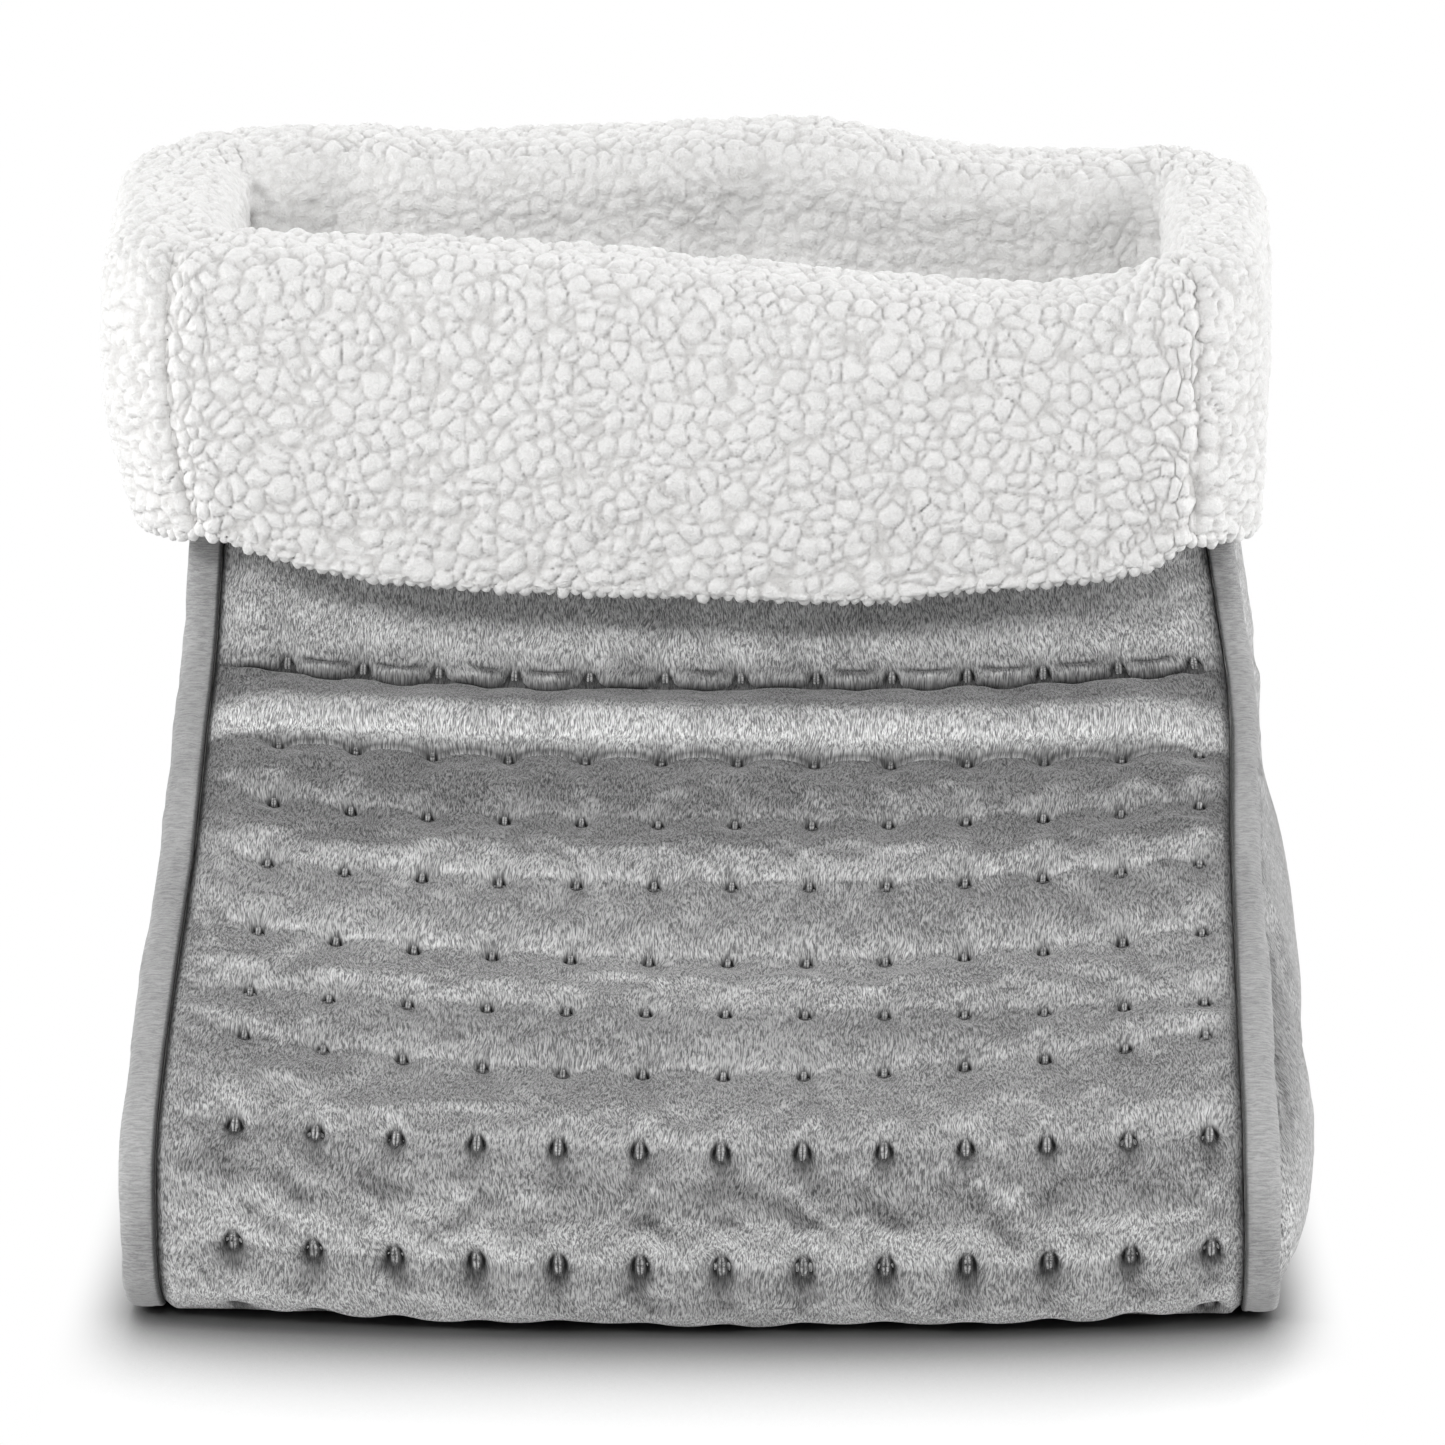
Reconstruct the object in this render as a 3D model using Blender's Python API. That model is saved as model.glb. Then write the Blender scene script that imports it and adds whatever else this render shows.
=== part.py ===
"""Electric foot warmer: a quilted plush boot for both feet with a turned-down sherpa cuff.

Frame: +Z up, the toe faces -Y, X runs across, the origin is under the middle of the part.
One long strip (front, sole and back) follows a side outline; the side panels close its ends.
Every layer is placed by its depth under the strip's outer face.
"""
import math

import bmesh
import bpy
from mathutils import Vector

MM = 0.001

# Body outline at the sewn edges
strip_half_width = 133.5 * MM
foot_length = 155.0 * MM
shaft_lean = 8.0 * MM
shaft_depth = 145.0 * MM
toe_height = 48.0 * MM
bend_height = 140.0 * MM
rim_front_height = 231.5 * MM
rim_rise = 15.5 * MM
toe_top_radius = 26.0 * MM
toe_bottom_radius = 21.0 * MM
bend_radius = 33.0 * MM
heel_radius = 30.0 * MM

# Sag (negative) and bulge (positive) of the strip's middle
crown_seam_width = 11.5 * MM
bend_crown = -6.0 * MM
instep_crown = -7.0 * MM
toe_top_crown = -2.0 * MM
toe_crown = 9.0 * MM
floor_fade = 14.0 * MM
crown_power = 3

# Layers
panel_thickness = 3.0 * MM
wadding_thickness = 4.7 * MM
foam_thickness = 4.7 * MM
carrier_thickness = 0.8 * MM
lining_thickness = 5.9 * MM
sole_thickness = 3.0 * MM
wire_diameter = 2.2 * MM
heater_space = 3.4 * MM
heater_clearance = 0.5 * MM
piece_gap = 0.3 * MM
side_wadding_thickness = 3.0 * MM
side_panel_thickness = 2.7 * MM
side_lining_thickness = 6.7 * MM
side_bulge = {"left": 6.0 * MM, "right": 15.0 * MM}
side_edge_gap = 0.9 * MM
lining_edge_gap = 0.9 * MM
side_column_shares = (0.0, 0.12, 0.3, 0.5, 0.7, 0.88, 1.0)
bulge_toe_share = 0.25
bulge_rim_share = 0.2
bulge_rise_share = 0.6
bulge_roundness = 0.8

# Quilting
tack_pitch = 20.0 * MM
tack_shift = 5.5 * MM
tack_edge_room = 7.5 * MM
row_a_past_bend = 19.0 * MM
row_i_past_toe = 7.2 * MM
row_shares = (0.0, 0.15, 0.27, 0.39, 0.49, 0.61, 0.69, 0.85, 1.0)
row_j_distance = 24.0 * MM
toe_wrap = 14.0 * MM
channel_puff = 3.6 * MM
roll_puff = 7.0 * MM
smooth_puff = 2.0 * MM
back_puff = 2.6 * MM
tack_ridge_share = 0.5
puff_roundness = 0.8
column_near_share = 0.2
edge_fade = 12.0 * MM
back_row_pitch = 30.0 * MM
back_rows = 7
back_first_row = 52.0 * MM

# Edge binding on both sides
binding_width = 9.0 * MM
binding_proud = 1.5 * MM
binding_thickness = 4.7 * MM
binding_floor_lift = 0.5 * MM
binding_edge_share = 0.3

# Turned-down cuff
cuff_side_offset = 8.7 * MM
cuff_side_share = 0.82
cuff_lap = 8.0 * MM
cuff_inner_reach = 15.0 * MM
cuff_outer_reach = 15.0 * MM
cuff_fold_radius = 8.0 * MM
cuff_half_thickness = 4.75 * MM
cuff_end_half_thickness = 2.9 * MM
cuff_inner_corner_radius = 4.0 * MM
cuff_outer_corner_radius = 26.0 * MM
cuff_bend_room = 30.5 * MM
cuff_droop = {"front": 15.0 * MM, "right": 6.0 * MM, "back": 12.0 * MM, "left": 6.0 * MM}
cuff_swell = 1.5 * MM
cuff_hem_rounding = 2.5 * MM
cuff_leg_shares = (0.3, 0.65, 1.0)

# Heating wire
wire_end_room = 29.5 * MM
wire_turn = 7.0 * MM
wire_turn_shares = (0.25, 0.75)
wire_top_margin = 5.8 * MM
sole_run_pitch = 24.0 * MM
sole_runs = 9
gap_skip = 8
splice_length = 14.0 * MM
splice_diameter = 2.4 * MM
cutout_length = 18.0 * MM
cutout_width = 7.0 * MM
cutout_thickness = 2.4 * MM
lead_diameter = 2.4 * MM
lead_rise = 10.0 * MM

# Supply inlet in the back, low at the right
inlet_side_distance = 49.5 * MM
inlet_height = 62.0 * MM
inlet_flange_width = 44.0 * MM
inlet_flange_height = 26.0 * MM
inlet_flange_thickness = 2.5 * MM
inlet_barrel_width = 34.0 * MM
inlet_barrel_height = 16.0 * MM
inlet_barrel_depth = 11.2 * MM
inlet_wall = 2.0 * MM
inlet_floor = 2.4 * MM
inlet_corner = 5.0 * MM
inlet_edge_round = 0.8 * MM
pin_diameter = 2.4 * MM
pin_length = 6.5 * MM
pin_pitch = 7.5 * MM
pin_count = 3
pin_tip_share = 0.6
backplate_margin = 5.0 * MM
backplate_thickness = 1.2 * MM

# Smoothness of the facets
shaft_steps = 3
arc_steps = 4
instep_steps = 4
back_steps = 4
corner_steps = 3
fold_steps = 3
rung_steps = 4
toe_rung_steps = 3
cuff_spans = 4
tube_sides = 6
search_steps = 60
least_bend_share = 0.5
soft_edge_angle = 50.0
sharp_edge_angle = 40.0
round_edge_angle = 70.0
cut_overrun = 4.0 * MM

# Places that follow from the sizes
toe_reach = toe_crown + channel_puff
back_reach = cuff_outer_reach + cuff_half_thickness + cuff_swell
total_depth = toe_reach + foot_length + shaft_lean + shaft_depth + back_reach
toe_y = toe_reach - total_depth / 2
bend_y = toe_y + foot_length
front_y = bend_y + shaft_lean
back_y = front_y + shaft_depth
rim_back_height = rim_front_height + rim_rise
rim_slope = rim_rise / shaft_depth
lean_slope = shaft_lean / (rim_front_height - bend_height)

wadding_top = panel_thickness + piece_gap
wadding_bottom = wadding_top + wadding_thickness
heater_top = wadding_bottom + piece_gap
carrier_top = wadding_bottom + heater_space
heater_seat = carrier_top - heater_clearance
carrier_bottom = carrier_top + carrier_thickness
lining_top = carrier_bottom + piece_gap
lining_bottom = lining_top + lining_thickness

crown_half_width = strip_half_width - crown_seam_width
cuff_half_width = strip_half_width + cuff_side_offset
cuff_corner_leg = rim_front_height - bend_height - cuff_bend_room
wire_half_run = strip_half_width - wire_end_room
inlet_x = strip_half_width - inlet_side_distance


def clear_scene():
    for item in list(bpy.data.objects):
        bpy.data.objects.remove(item, do_unlink=True)


def material(name, colour, roughness, metallic=0.0):
    made = bpy.data.materials.new(name)
    made.use_nodes = True
    shader = made.node_tree.nodes["Principled BSDF"]
    shader.inputs["Base Color"].default_value = (*colour, 1.0)
    shader.inputs["Roughness"].default_value = roughness
    shader.inputs["Metallic"].default_value = metallic
    return made


def add_object(name, mesh_data, finish, sharp_angle=soft_edge_angle):
    mesh_data.shade_smooth()
    mesh_data.set_sharp_from_angle(angle=math.radians(sharp_angle))
    made = bpy.data.objects.new(name, mesh_data)
    made.data.materials.append(material(name + "_finish", *finish))
    bpy.context.scene.collection.objects.link(made)
    return made


def mesh_from(name, points, faces):
    """One mesh whose faces are turned to point outwards."""
    build = bmesh.new()
    verts = [build.verts.new(p) for p in points]
    for face in faces:
        build.faces.new([verts[i] for i in face])
    bmesh.ops.recalc_face_normals(build, faces=build.faces)
    if build.calc_volume(signed=True) < 0:
        bmesh.ops.reverse_faces(build, faces=build.faces)
    data = bpy.data.meshes.new(name)
    build.to_mesh(data)
    build.free()
    return data


# The side outline of the strip: straight runs joined by round corners, front rim to back rim
class Outline:
    def __init__(self, corners, radii):
        self.runs = []
        start = Vector(corners[0])
        for i, radius in enumerate(radii, 1):
            here = Vector(corners[i])
            before = (here - Vector(corners[i - 1])).normalized()
            after = (Vector(corners[i + 1]) - here).normalized()
            turn = before.angle_signed(after)
            cut = radius * math.tan(abs(turn) / 2)
            self.add_line(start, here - before * cut)
            side = Vector((-before.y, before.x)) * (-1 if turn > 0 else 1)
            self.add_arc(here - before * cut, before, side, radius, abs(turn))
            start = here + after * cut
        self.add_line(start, Vector(corners[-1]))
        self.ends = [0.0]
        for run in self.runs:
            self.ends.append(self.ends[-1] + run["length"])

    def add_line(self, start, end):
        along = end - start
        self.runs.append({"start": start, "along": along.normalized(), "length": along.length})

    def add_arc(self, start, along, side, radius, turn):
        self.runs.append({"start": start, "along": along, "side": side,
                          "radius": radius, "length": radius * turn})

    def at(self, s):
        """Point and outward normal at the distance s along the outline."""
        i = 0
        while i < len(self.runs) - 1 and s > self.ends[i + 1]:
            i += 1
        run, rest = self.runs[i], s - self.ends[i]
        if "radius" not in run:
            along = run["along"]
            return run["start"] + along * rest, Vector((along.y, -along.x))
        angle = rest / run["radius"]
        centre = run["start"] + run["side"] * run["radius"]
        spoke = -run["side"] * math.cos(angle) + run["along"] * math.sin(angle)
        along = run["along"] * math.cos(angle) + run["side"] * math.sin(angle)
        return centre + spoke * run["radius"], Vector((along.y, -along.x))

    def inside(self, s, depth):
        point, normal = self.at(s)
        return point - normal * depth


outline = Outline(
    [(front_y, rim_front_height), (bend_y, bend_height), (toe_y, toe_height),
     (toe_y, 0.0), (back_y, 0.0), (back_y, rim_back_height)],
    [bend_radius, toe_top_radius, toe_bottom_radius, heel_radius],
)
(rim_s, bend_start, bend_end, toe_top_start, toe_top_end, toe_low_start,
 toe_low_end, heel_start, heel_end, back_rim_s) = outline.ends
row_a_station = bend_start + row_a_past_bend
row_span = toe_low_start + row_i_past_toe - row_a_station
row_stations = [row_a_station + share * row_span for share in row_shares]
row_stations.append(row_stations[-1] + row_j_distance)
front_end = toe_low_end + toe_wrap
inlet_s = heel_end + (inlet_height - heel_radius)


def between(a, b, steps):
    """Evenly spaced values from a up to, but without, b."""
    return [a + (b - a) * i / steps for i in range(steps)]


def smooth_step(share):
    share = min(max(share, 0.0), 1.0)
    return share * share * (3 - 2 * share)


def crown_at(s, x):
    """How far the middle of the strip stands out from its sewn edges."""
    middle = (bend_end + toe_top_start) / 2
    knots = [(rim_s, 0.0), (bend_start, bend_crown), (middle, instep_crown),
             (toe_top_start, toe_top_crown), (toe_top_end, toe_crown),
             (toe_low_start, toe_crown), (toe_low_end, 0.0)]
    rise = 0.0
    for (s0, c0), (s1, c1) in zip(knots, knots[1:]):
        if s0 <= s <= s1:
            rise = c0 + (c1 - c0) * smooth_step((s - s0) / (s1 - s0))
    share = min(abs(x) / crown_half_width, 1.0)
    return rise * (1 - share ** crown_power)


def strip_point(x, s, depth):
    point, normal = outline.at(s)
    place = point + normal * (crown_at(s, x) - depth)
    return Vector((x, place.x, place.y))


def facet_ends(knots, value):
    """The two neighbouring knots round a value, or the outermost two beyond the last knot."""
    i = sum(1 for knot in knots[1:-1] if knot <= value)
    return knots[i], knots[i + 1]


def facet_point(x, s, depth):
    """A point on the layers' facets, so that what lies between two layers follows them."""
    s0, s1 = facet_ends(facet_stations, s)
    x0, x1 = facet_ends(inner_columns, x)
    along, across = (s - s0) / (s1 - s0), (x - x0) / (x1 - x0)
    near = strip_point(x0, s0, depth).lerp(strip_point(x1, s0, depth), across)
    far = strip_point(x0, s1, depth).lerp(strip_point(x1, s1, depth), across)
    return near.lerp(far, along)


def slab(name, finish, place_outer, place_inner, columns, stations, inner_columns=None,
         inner_stations=None):
    """A closed sheet between an outer and an inner grid, whose own grid may be coarser."""
    inner_columns = inner_columns or columns
    inner_stations = inner_stations or stations
    points = [place_outer(c, s) for s in stations for c in columns]
    base = len(points)
    points += [place_inner(c, s) for s in inner_stations for c in inner_columns]
    wide, narrow = len(columns), len(inner_columns)

    def outer(row, column):
        return row * wide + column

    def inner(row, column):
        return base + row * narrow + column

    faces = []
    for r in range(len(stations) - 1):
        for c in range(wide - 1):
            faces.append((outer(r, c), outer(r, c + 1), outer(r + 1, c + 1), outer(r + 1, c)))
    for r in range(len(inner_stations) - 1):
        for c in range(narrow - 1):
            faces.append((inner(r, c), inner(r + 1, c), inner(r + 1, c + 1), inner(r, c + 1)))
    rows = [stations.index(s) for s in inner_stations]
    cols = [columns.index(c) for c in inner_columns]
    for r, (first, last) in enumerate(zip(rows, rows[1:])):
        for side, column in ((0, 0), (narrow - 1, wide - 1)):
            edge = [outer(i, column) for i in range(first, last + 1)]
            faces.append(tuple(edge) + (inner(r + 1, side), inner(r, side)))
    for c, (first, last) in enumerate(zip(cols, cols[1:])):
        for side, row in ((0, 0), (len(inner_stations) - 1, len(stations) - 1)):
            edge = [outer(row, i) for i in range(first, last + 1)]
            faces.append(tuple(edge) + (inner(side, c + 1), inner(side, c)))
    return add_object(name, mesh_from(name, points, faces), finish)


def sweep(name, finish, sections, sharp_angle=soft_edge_angle):
    """A closed body through equal loops of points, capped at both ends."""
    count = len(sections[0])
    points = [p for section in sections for p in section]
    faces = []
    for r in range(len(sections) - 1):
        for i in range(count):
            j = (i + 1) % count
            faces.append((r * count + i, r * count + j,
                          (r + 1) * count + j, (r + 1) * count + i))
    last = (len(sections) - 1) * count
    faces.append(tuple(range(count)))
    faces.append(tuple(last + i for i in range(count)))
    return add_object(name, mesh_from(name, points, faces), finish, sharp_angle)


def tube(name, finish, path, diameter, sides=tube_sides):
    """A round wire along a list of points, with flat ends."""
    sections = []
    for i, here in enumerate(path):
        before = (here - path[max(i - 1, 0)]).normalized()
        after = (path[min(i + 1, len(path) - 1)] - here).normalized()
        along = (before + after).normalized()
        widen = 1 / max(along.dot(after if after.length else before), least_bend_share)
        across = Vector((0, 0, 1)).cross(along)
        if across.length < least_bend_share:
            across = Vector((1, 0, 0))
        across.normalize()
        up = along.cross(across)
        bend = (after - before).normalized()
        ring = []
        for k in range(sides):
            angle = math.pi * (2 * k + 1) / sides
            spoke = (across * math.cos(angle) + up * math.sin(angle)) * (diameter / 2)
            spoke += bend * spoke.dot(bend) * (widen - 1)
            ring.append(here + spoke)
        sections.append(ring)
    return sweep(name, finish, sections)


# Stations along the outline that the layers share
shaft_stations = between(rim_s, bend_start, shaft_steps)
bend_stations = between(bend_start, bend_end, arc_steps)
instep_stations = between(bend_end, toe_top_start, instep_steps)
toe_top_stations = between(toe_top_start, toe_top_end, arc_steps)
toe_low_stations = between(toe_low_start, toe_low_end, arc_steps + 1)
heel_stations = between(heel_start, heel_end, arc_steps + 1)
back_stations = between(heel_end, back_rim_s, back_steps)
inner_columns = [-strip_half_width, -crown_half_width, -crown_half_width / 2, 0.0,
                 crown_half_width / 2, crown_half_width, strip_half_width]
front_knots = shaft_stations + bend_stations + instep_stations + toe_top_stations
front_knots += [toe_top_end] + toe_low_stations
facet_stations = sorted(set(front_knots) | set(heel_stations) | set(back_stations)
                        | {toe_low_end, back_rim_s})

plush = ((0.33, 0.33, 0.33), 0.75)
sherpa = ((0.86, 0.85, 0.83), 0.95)
edge_cloth = ((0.30, 0.30, 0.30), 0.8)
fill = ((0.80, 0.80, 0.78), 1.0)
foam = ((0.70, 0.70, 0.66), 0.95)
felt = ((0.62, 0.58, 0.50), 0.95)
wire_skin = ((0.75, 0.75, 0.73), 0.5)
dark_plastic = ((0.03, 0.03, 0.032), 0.45)
white_plastic = ((0.70, 0.70, 0.70), 0.5)
pin_metal = ((0.75, 0.72, 0.66), 0.3, 1.0)


def tack_places():
    """As many columns of tacks as fit between the sewn edges."""
    reach = strip_half_width - tack_edge_room
    first = math.ceil((-reach - tack_shift) / tack_pitch)
    last = math.floor((reach - tack_shift) / tack_pitch)
    return [tack_shift + i * tack_pitch for i in range(first, last + 1)]


def quilt_columns():
    """Every tack, the middle between tacks, the crown's edges and both sewn edges."""
    tacks = tack_places()
    found = set(inner_columns) | set(tacks)
    found |= {(a + b) / 2 for a, b in zip(tacks, tacks[1:])}
    ordered = sorted(found)
    kept = [ordered[0]]
    for value in ordered[1:]:
        close = value - kept[-1] < tack_pitch * column_near_share
        if close and value in inner_columns:
            kept[-1] = value
        elif not close:
            kept.append(value)
    return kept


def edge_share(x):
    return smooth_step((strip_half_width - abs(x)) / edge_fade)


def quilt_puff(s, x, rows, heights):
    """Height of the quilting: low at each tack, a low ridge between tacks, high between rows."""
    wave = math.sin(math.pi * (x - tack_places()[0]) / tack_pitch) ** 2
    for (s0, s1), height in zip(zip(rows, rows[1:]), heights):
        if s0 <= s <= s1:
            roll = max(math.sin(math.pi * (s - s0) / (s1 - s0)), 0.0) ** puff_roundness
            low = tack_ridge_share * channel_puff
            return (height * roll + low * (1 - roll) * wave) * edge_share(x)
    return 0.0


def over_floor(s):
    """Zero on the floor and one above it."""
    return smooth_step(outline.at(s)[0].y / floor_fade)


def front_puff(s, x):
    rows = [rim_s] + row_stations
    heights = [smooth_puff, roll_puff] + [channel_puff] * (len(row_stations) - 2)
    return quilt_puff(s, x, rows, heights) * over_floor(s)


def back_row_stations():
    first = back_rim_s - back_first_row
    return sorted(first - i * back_row_pitch for i in range(back_rows))


def near_inlet(s, x):
    wide = inlet_flange_width / 2 + tack_pitch / 2
    high = inlet_flange_height / 2 + back_row_pitch / 2
    return abs(x - inlet_x) < wide and abs(outline.at(s)[0].y - inlet_height) < high


def back_puff_at(s, x):
    if near_inlet(s, x) or s <= heel_start:
        return 0.0
    rows = back_row_stations()
    rows = [heel_start] + [r for r in rows if r > heel_start] + [back_rim_s]
    return quilt_puff(s, x, rows, [back_puff] * (len(rows) - 1)) * over_floor(s)


def with_rows(knots, rows, first, last):
    """Knots, tack rows and the middles between rows, in order and never too close."""
    middles = [(a + b) / 2 for a, b in zip(rows, rows[1:])]
    near = tack_pitch * column_near_share
    kept = sorted(k for k in knots if first < k < last)
    for value in list(rows) + middles:
        if first < value < last and all(abs(value - k) > near for k in kept):
            kept.append(value)
    return [first] + sorted(kept) + [last]


def front_panel():
    stations = with_rows(front_knots, row_stations, rim_s, front_end)
    stations = sorted(set(stations) | {toe_low_end})
    knots = [s for s in stations if s in front_knots or s in (front_end, toe_low_end)]
    return slab("front_panel", plush,
                lambda x, s: strip_point(x, s, -front_puff(s, x)),
                lambda x, s: strip_point(x, s, panel_thickness),
                quilt_columns(), stations, inner_columns, knots)


def sole_panel():
    ends = [front_end + piece_gap, heel_start - piece_gap]
    return slab("sole_panel", plush,
                lambda x, s: strip_point(x, s, 0.0),
                lambda x, s: strip_point(x, s, sole_thickness),
                [-strip_half_width, strip_half_width], ends)


def back_panel():
    knots = heel_stations + back_stations
    stations = with_rows(knots, back_row_stations(), heel_start, back_rim_s)
    kept = [s for s in stations if s in knots or s == back_rim_s]
    made = slab("back_panel", plush,
                lambda x, s: strip_point(x, s, -back_puff_at(s, x)),
                lambda x, s: strip_point(x, s, panel_thickness),
                quilt_columns(), stations, inner_columns, kept)
    inlet_cut(made, inlet_barrel_width, inlet_barrel_height)
    return made


def strip_layer(name, finish, top, bottom, stations):
    return slab(name, finish,
                lambda x, s: strip_point(x, s, top),
                lambda x, s: strip_point(x, s, bottom),
                inner_columns, stations)


def inlet_loop(width, height, corner, depth):
    """A rounded rectangle on the back wall, at a depth under its outer face."""
    corner = min(corner, width / 2, height / 2)
    loop = []
    for k in range(4):
        turn = math.pi / 2 * k
        sx, sz = (1, 1, -1, -1)[k], (1, -1, -1, 1)[k]
        for i in range(corner_steps + 1):
            angle = math.pi / 2 - turn - math.pi / 2 * i / corner_steps
            x = inlet_x + sx * (width / 2 - corner) + corner * math.cos(angle)
            z = inlet_height + sz * (height / 2 - corner) + corner * math.sin(angle)
            loop.append(Vector((x, back_y - depth, z)))
    return loop


def inlet_cut(target, width, height):
    cutter = sweep(target.name + "_cutter", dark_plastic, [
        inlet_loop(width + 2 * piece_gap, height + 2 * piece_gap, inlet_corner, -cut_overrun),
        inlet_loop(width + 2 * piece_gap, height + 2 * piece_gap, inlet_corner,
                   heater_top + backplate_thickness + cut_overrun)])
    cutter.hide_render = True
    cutter.display_type = "WIRE"
    cut = target.modifiers.new("inlet_hole", "BOOLEAN")
    cut.operation = "DIFFERENCE"
    cut.solver = "EXACT"
    cut.object = cutter


def inlet_parts():
    top = -piece_gap
    flange_top = top - inlet_flange_thickness
    inner_w, inner_h = inlet_barrel_width - 2 * inlet_wall, inlet_barrel_height - 2 * inlet_wall
    floor_depth = inlet_barrel_depth - inlet_floor
    inner_corner = inlet_corner - inlet_wall
    round_w = inlet_flange_width - 2 * inlet_edge_round
    round_h = inlet_flange_height - 2 * inlet_edge_round
    sweep("inlet_housing", dark_plastic, [
        inlet_loop(inner_w, inner_h, inner_corner, floor_depth),
        inlet_loop(inner_w, inner_h, inner_corner, flange_top),
        inlet_loop(round_w, round_h, inlet_corner, flange_top),
        inlet_loop(inlet_flange_width, inlet_flange_height, inlet_corner,
                   flange_top + inlet_edge_round),
        inlet_loop(inlet_flange_width, inlet_flange_height, inlet_corner, top),
        inlet_loop(inlet_barrel_width, inlet_barrel_height, inlet_corner, top),
        inlet_loop(inlet_barrel_width, inlet_barrel_height, inlet_corner,
                   inlet_barrel_depth)], sharp_edge_angle)
    plate = sweep("inlet_backplate", white_plastic, [
        inlet_loop(inlet_barrel_width + 2 * backplate_margin,
                   inlet_barrel_height + 2 * backplate_margin, inlet_corner, heater_top),
        inlet_loop(inlet_barrel_width + 2 * backplate_margin,
                   inlet_barrel_height + 2 * backplate_margin, inlet_corner,
                   heater_top + backplate_thickness)])
    inlet_cut(plate, inlet_barrel_width, inlet_barrel_height)
    for i in range(pin_count):
        x = inlet_x + (i - (pin_count - 1) / 2) * pin_pitch
        base = back_y - floor_depth + piece_gap
        ends = [(base, 1.0), (base + pin_length - pin_diameter / 2, 1.0),
                (base + pin_length, pin_tip_share)]
        rings = []
        for y, share in ends:
            ring = []
            for k in range(2 * tube_sides):
                angle = math.pi * k / tube_sides
                radius = pin_diameter / 2 * share
                ring.append(Vector((x + radius * math.cos(angle), y,
                                    inlet_height + radius * math.sin(angle))))
            rings.append(ring)
        sweep(f"inlet_pin_{i + 1}", pin_metal, rings)


def rung_stations():
    """Matched places on the front line and on the back line of the side outline."""
    front = between(rim_s, bend_start, rung_steps) + between(bend_start, bend_end, rung_steps)
    front += between(bend_end, toe_top_start, rung_steps)
    front += between(toe_top_start, toe_top_end, toe_rung_steps)
    back = between(back_rim_s, heel_end, rung_steps) + between(heel_end, heel_start, rung_steps)
    back += between(heel_start, toe_low_end, rung_steps)
    back += between(toe_low_end, toe_low_start, toe_rung_steps)
    return list(zip(front + [toe_top_end], back + [toe_low_start]))


def bulge_share(rung, across):
    along = rung / (len(rung_stations()) - 1)
    toe = smooth_step((1 - along) / bulge_toe_share)
    rim = bulge_rim_share + (1 - bulge_rim_share) * smooth_step(along / bulge_rise_share)
    return max(math.sin(math.pi * across), 0.0) ** bulge_roundness * toe * rim


def wall_station(depth, drop, front):
    """Where a layer of the front or back wall is a given drop below the sloping rim."""
    low, high = (rim_s, bend_start) if front else (heel_end, back_rim_s)
    for step in range(search_steps):
        middle = (low + high) / 2
        point = outline.inside(middle, depth)
        above = point.y > rim_front_height + rim_slope * (point.x - front_y) - drop
        if above == front:
            low = middle
        else:
            high = middle
    return (low + high) / 2


def side_sheet(name, finish, side, inset, near, far, bulged, columns, drop=0.0):
    """A layer of the side wall between two distances from the middle plane."""
    sign = -1 if side == "left" else 1
    rungs = rung_stations()
    if drop:
        rungs[0] = (wall_station(inset, drop, True), wall_station(inset, drop, False))

    def place(offset, swell):
        def at(across, rung):
            front = outline.inside(rungs[rung][0], inset)
            back = outline.inside(rungs[rung][1], inset)
            point = front.lerp(back, across)
            x = offset + (swell * bulge_share(rung, across) if swell else 0.0)
            return Vector((sign * x, point.x, point.y))
        return at

    swell = side_bulge[side]
    rows = list(range(len(rungs)))
    inner_bulge = swell if bulged == "both" else 0.0
    outer_bulge = swell if bulged else 0.0
    inner_cols = columns if bulged == "both" else [columns[0], columns[-1]]
    outer_cols = columns if bulged else [columns[0], columns[-1]]
    return slab(name, finish, place(far, outer_bulge), place(near, inner_bulge),
                outer_cols, rows, inner_cols, rows)


def side_walls(side):
    inset = binding_thickness - binding_proud + side_edge_gap
    columns = list(side_column_shares)
    wadding_near = strip_half_width + piece_gap
    wadding_far = wadding_near + side_wadding_thickness
    panel_near = wadding_far + piece_gap
    panel_far = panel_near + side_panel_thickness
    side_sheet(f"side_panel_{side}", plush, side, inset, panel_near, panel_far, "both", columns)
    side_sheet(f"wadding_{side}", fill, side, inset, wadding_near, wadding_far, "outer", columns)
    side_sheet(f"lining_{side}", sherpa, side, lining_bottom + lining_edge_gap,
               strip_half_width - side_lining_thickness, strip_half_width, "", columns,
               cuff_lap + piece_gap)


def binding(side):
    """The wrapped edge: a flat band with a rounded outer fold, right round the outline."""
    sign = -1 if side == "left" else 1
    near = strip_half_width + piece_gap
    far = strip_half_width + binding_width
    step = binding_width * binding_edge_share
    sections = []
    for s in facet_stations:
        point, normal = outline.at(s)
        lift = smooth_step(point.y / floor_fade)
        top = -binding_proud * lift + binding_floor_lift * (1 - lift)
        bottom = binding_thickness - binding_proud
        half = (bottom - top) / 2
        shape = [(near, top), (far - step, top), (far - step / 3, top + half / 2),
                 (far, top + half), (far - step / 3, bottom - half / 2), (far - step, bottom),
                 (near, bottom)]
        loop = []
        for x, depth in shape:
            place = point - normal * depth
            loop.append(Vector((sign * x, place.x, place.y)))
        sections.append(loop)
    sweep(f"binding_{side}", edge_cloth, sections, round_edge_angle)


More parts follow.
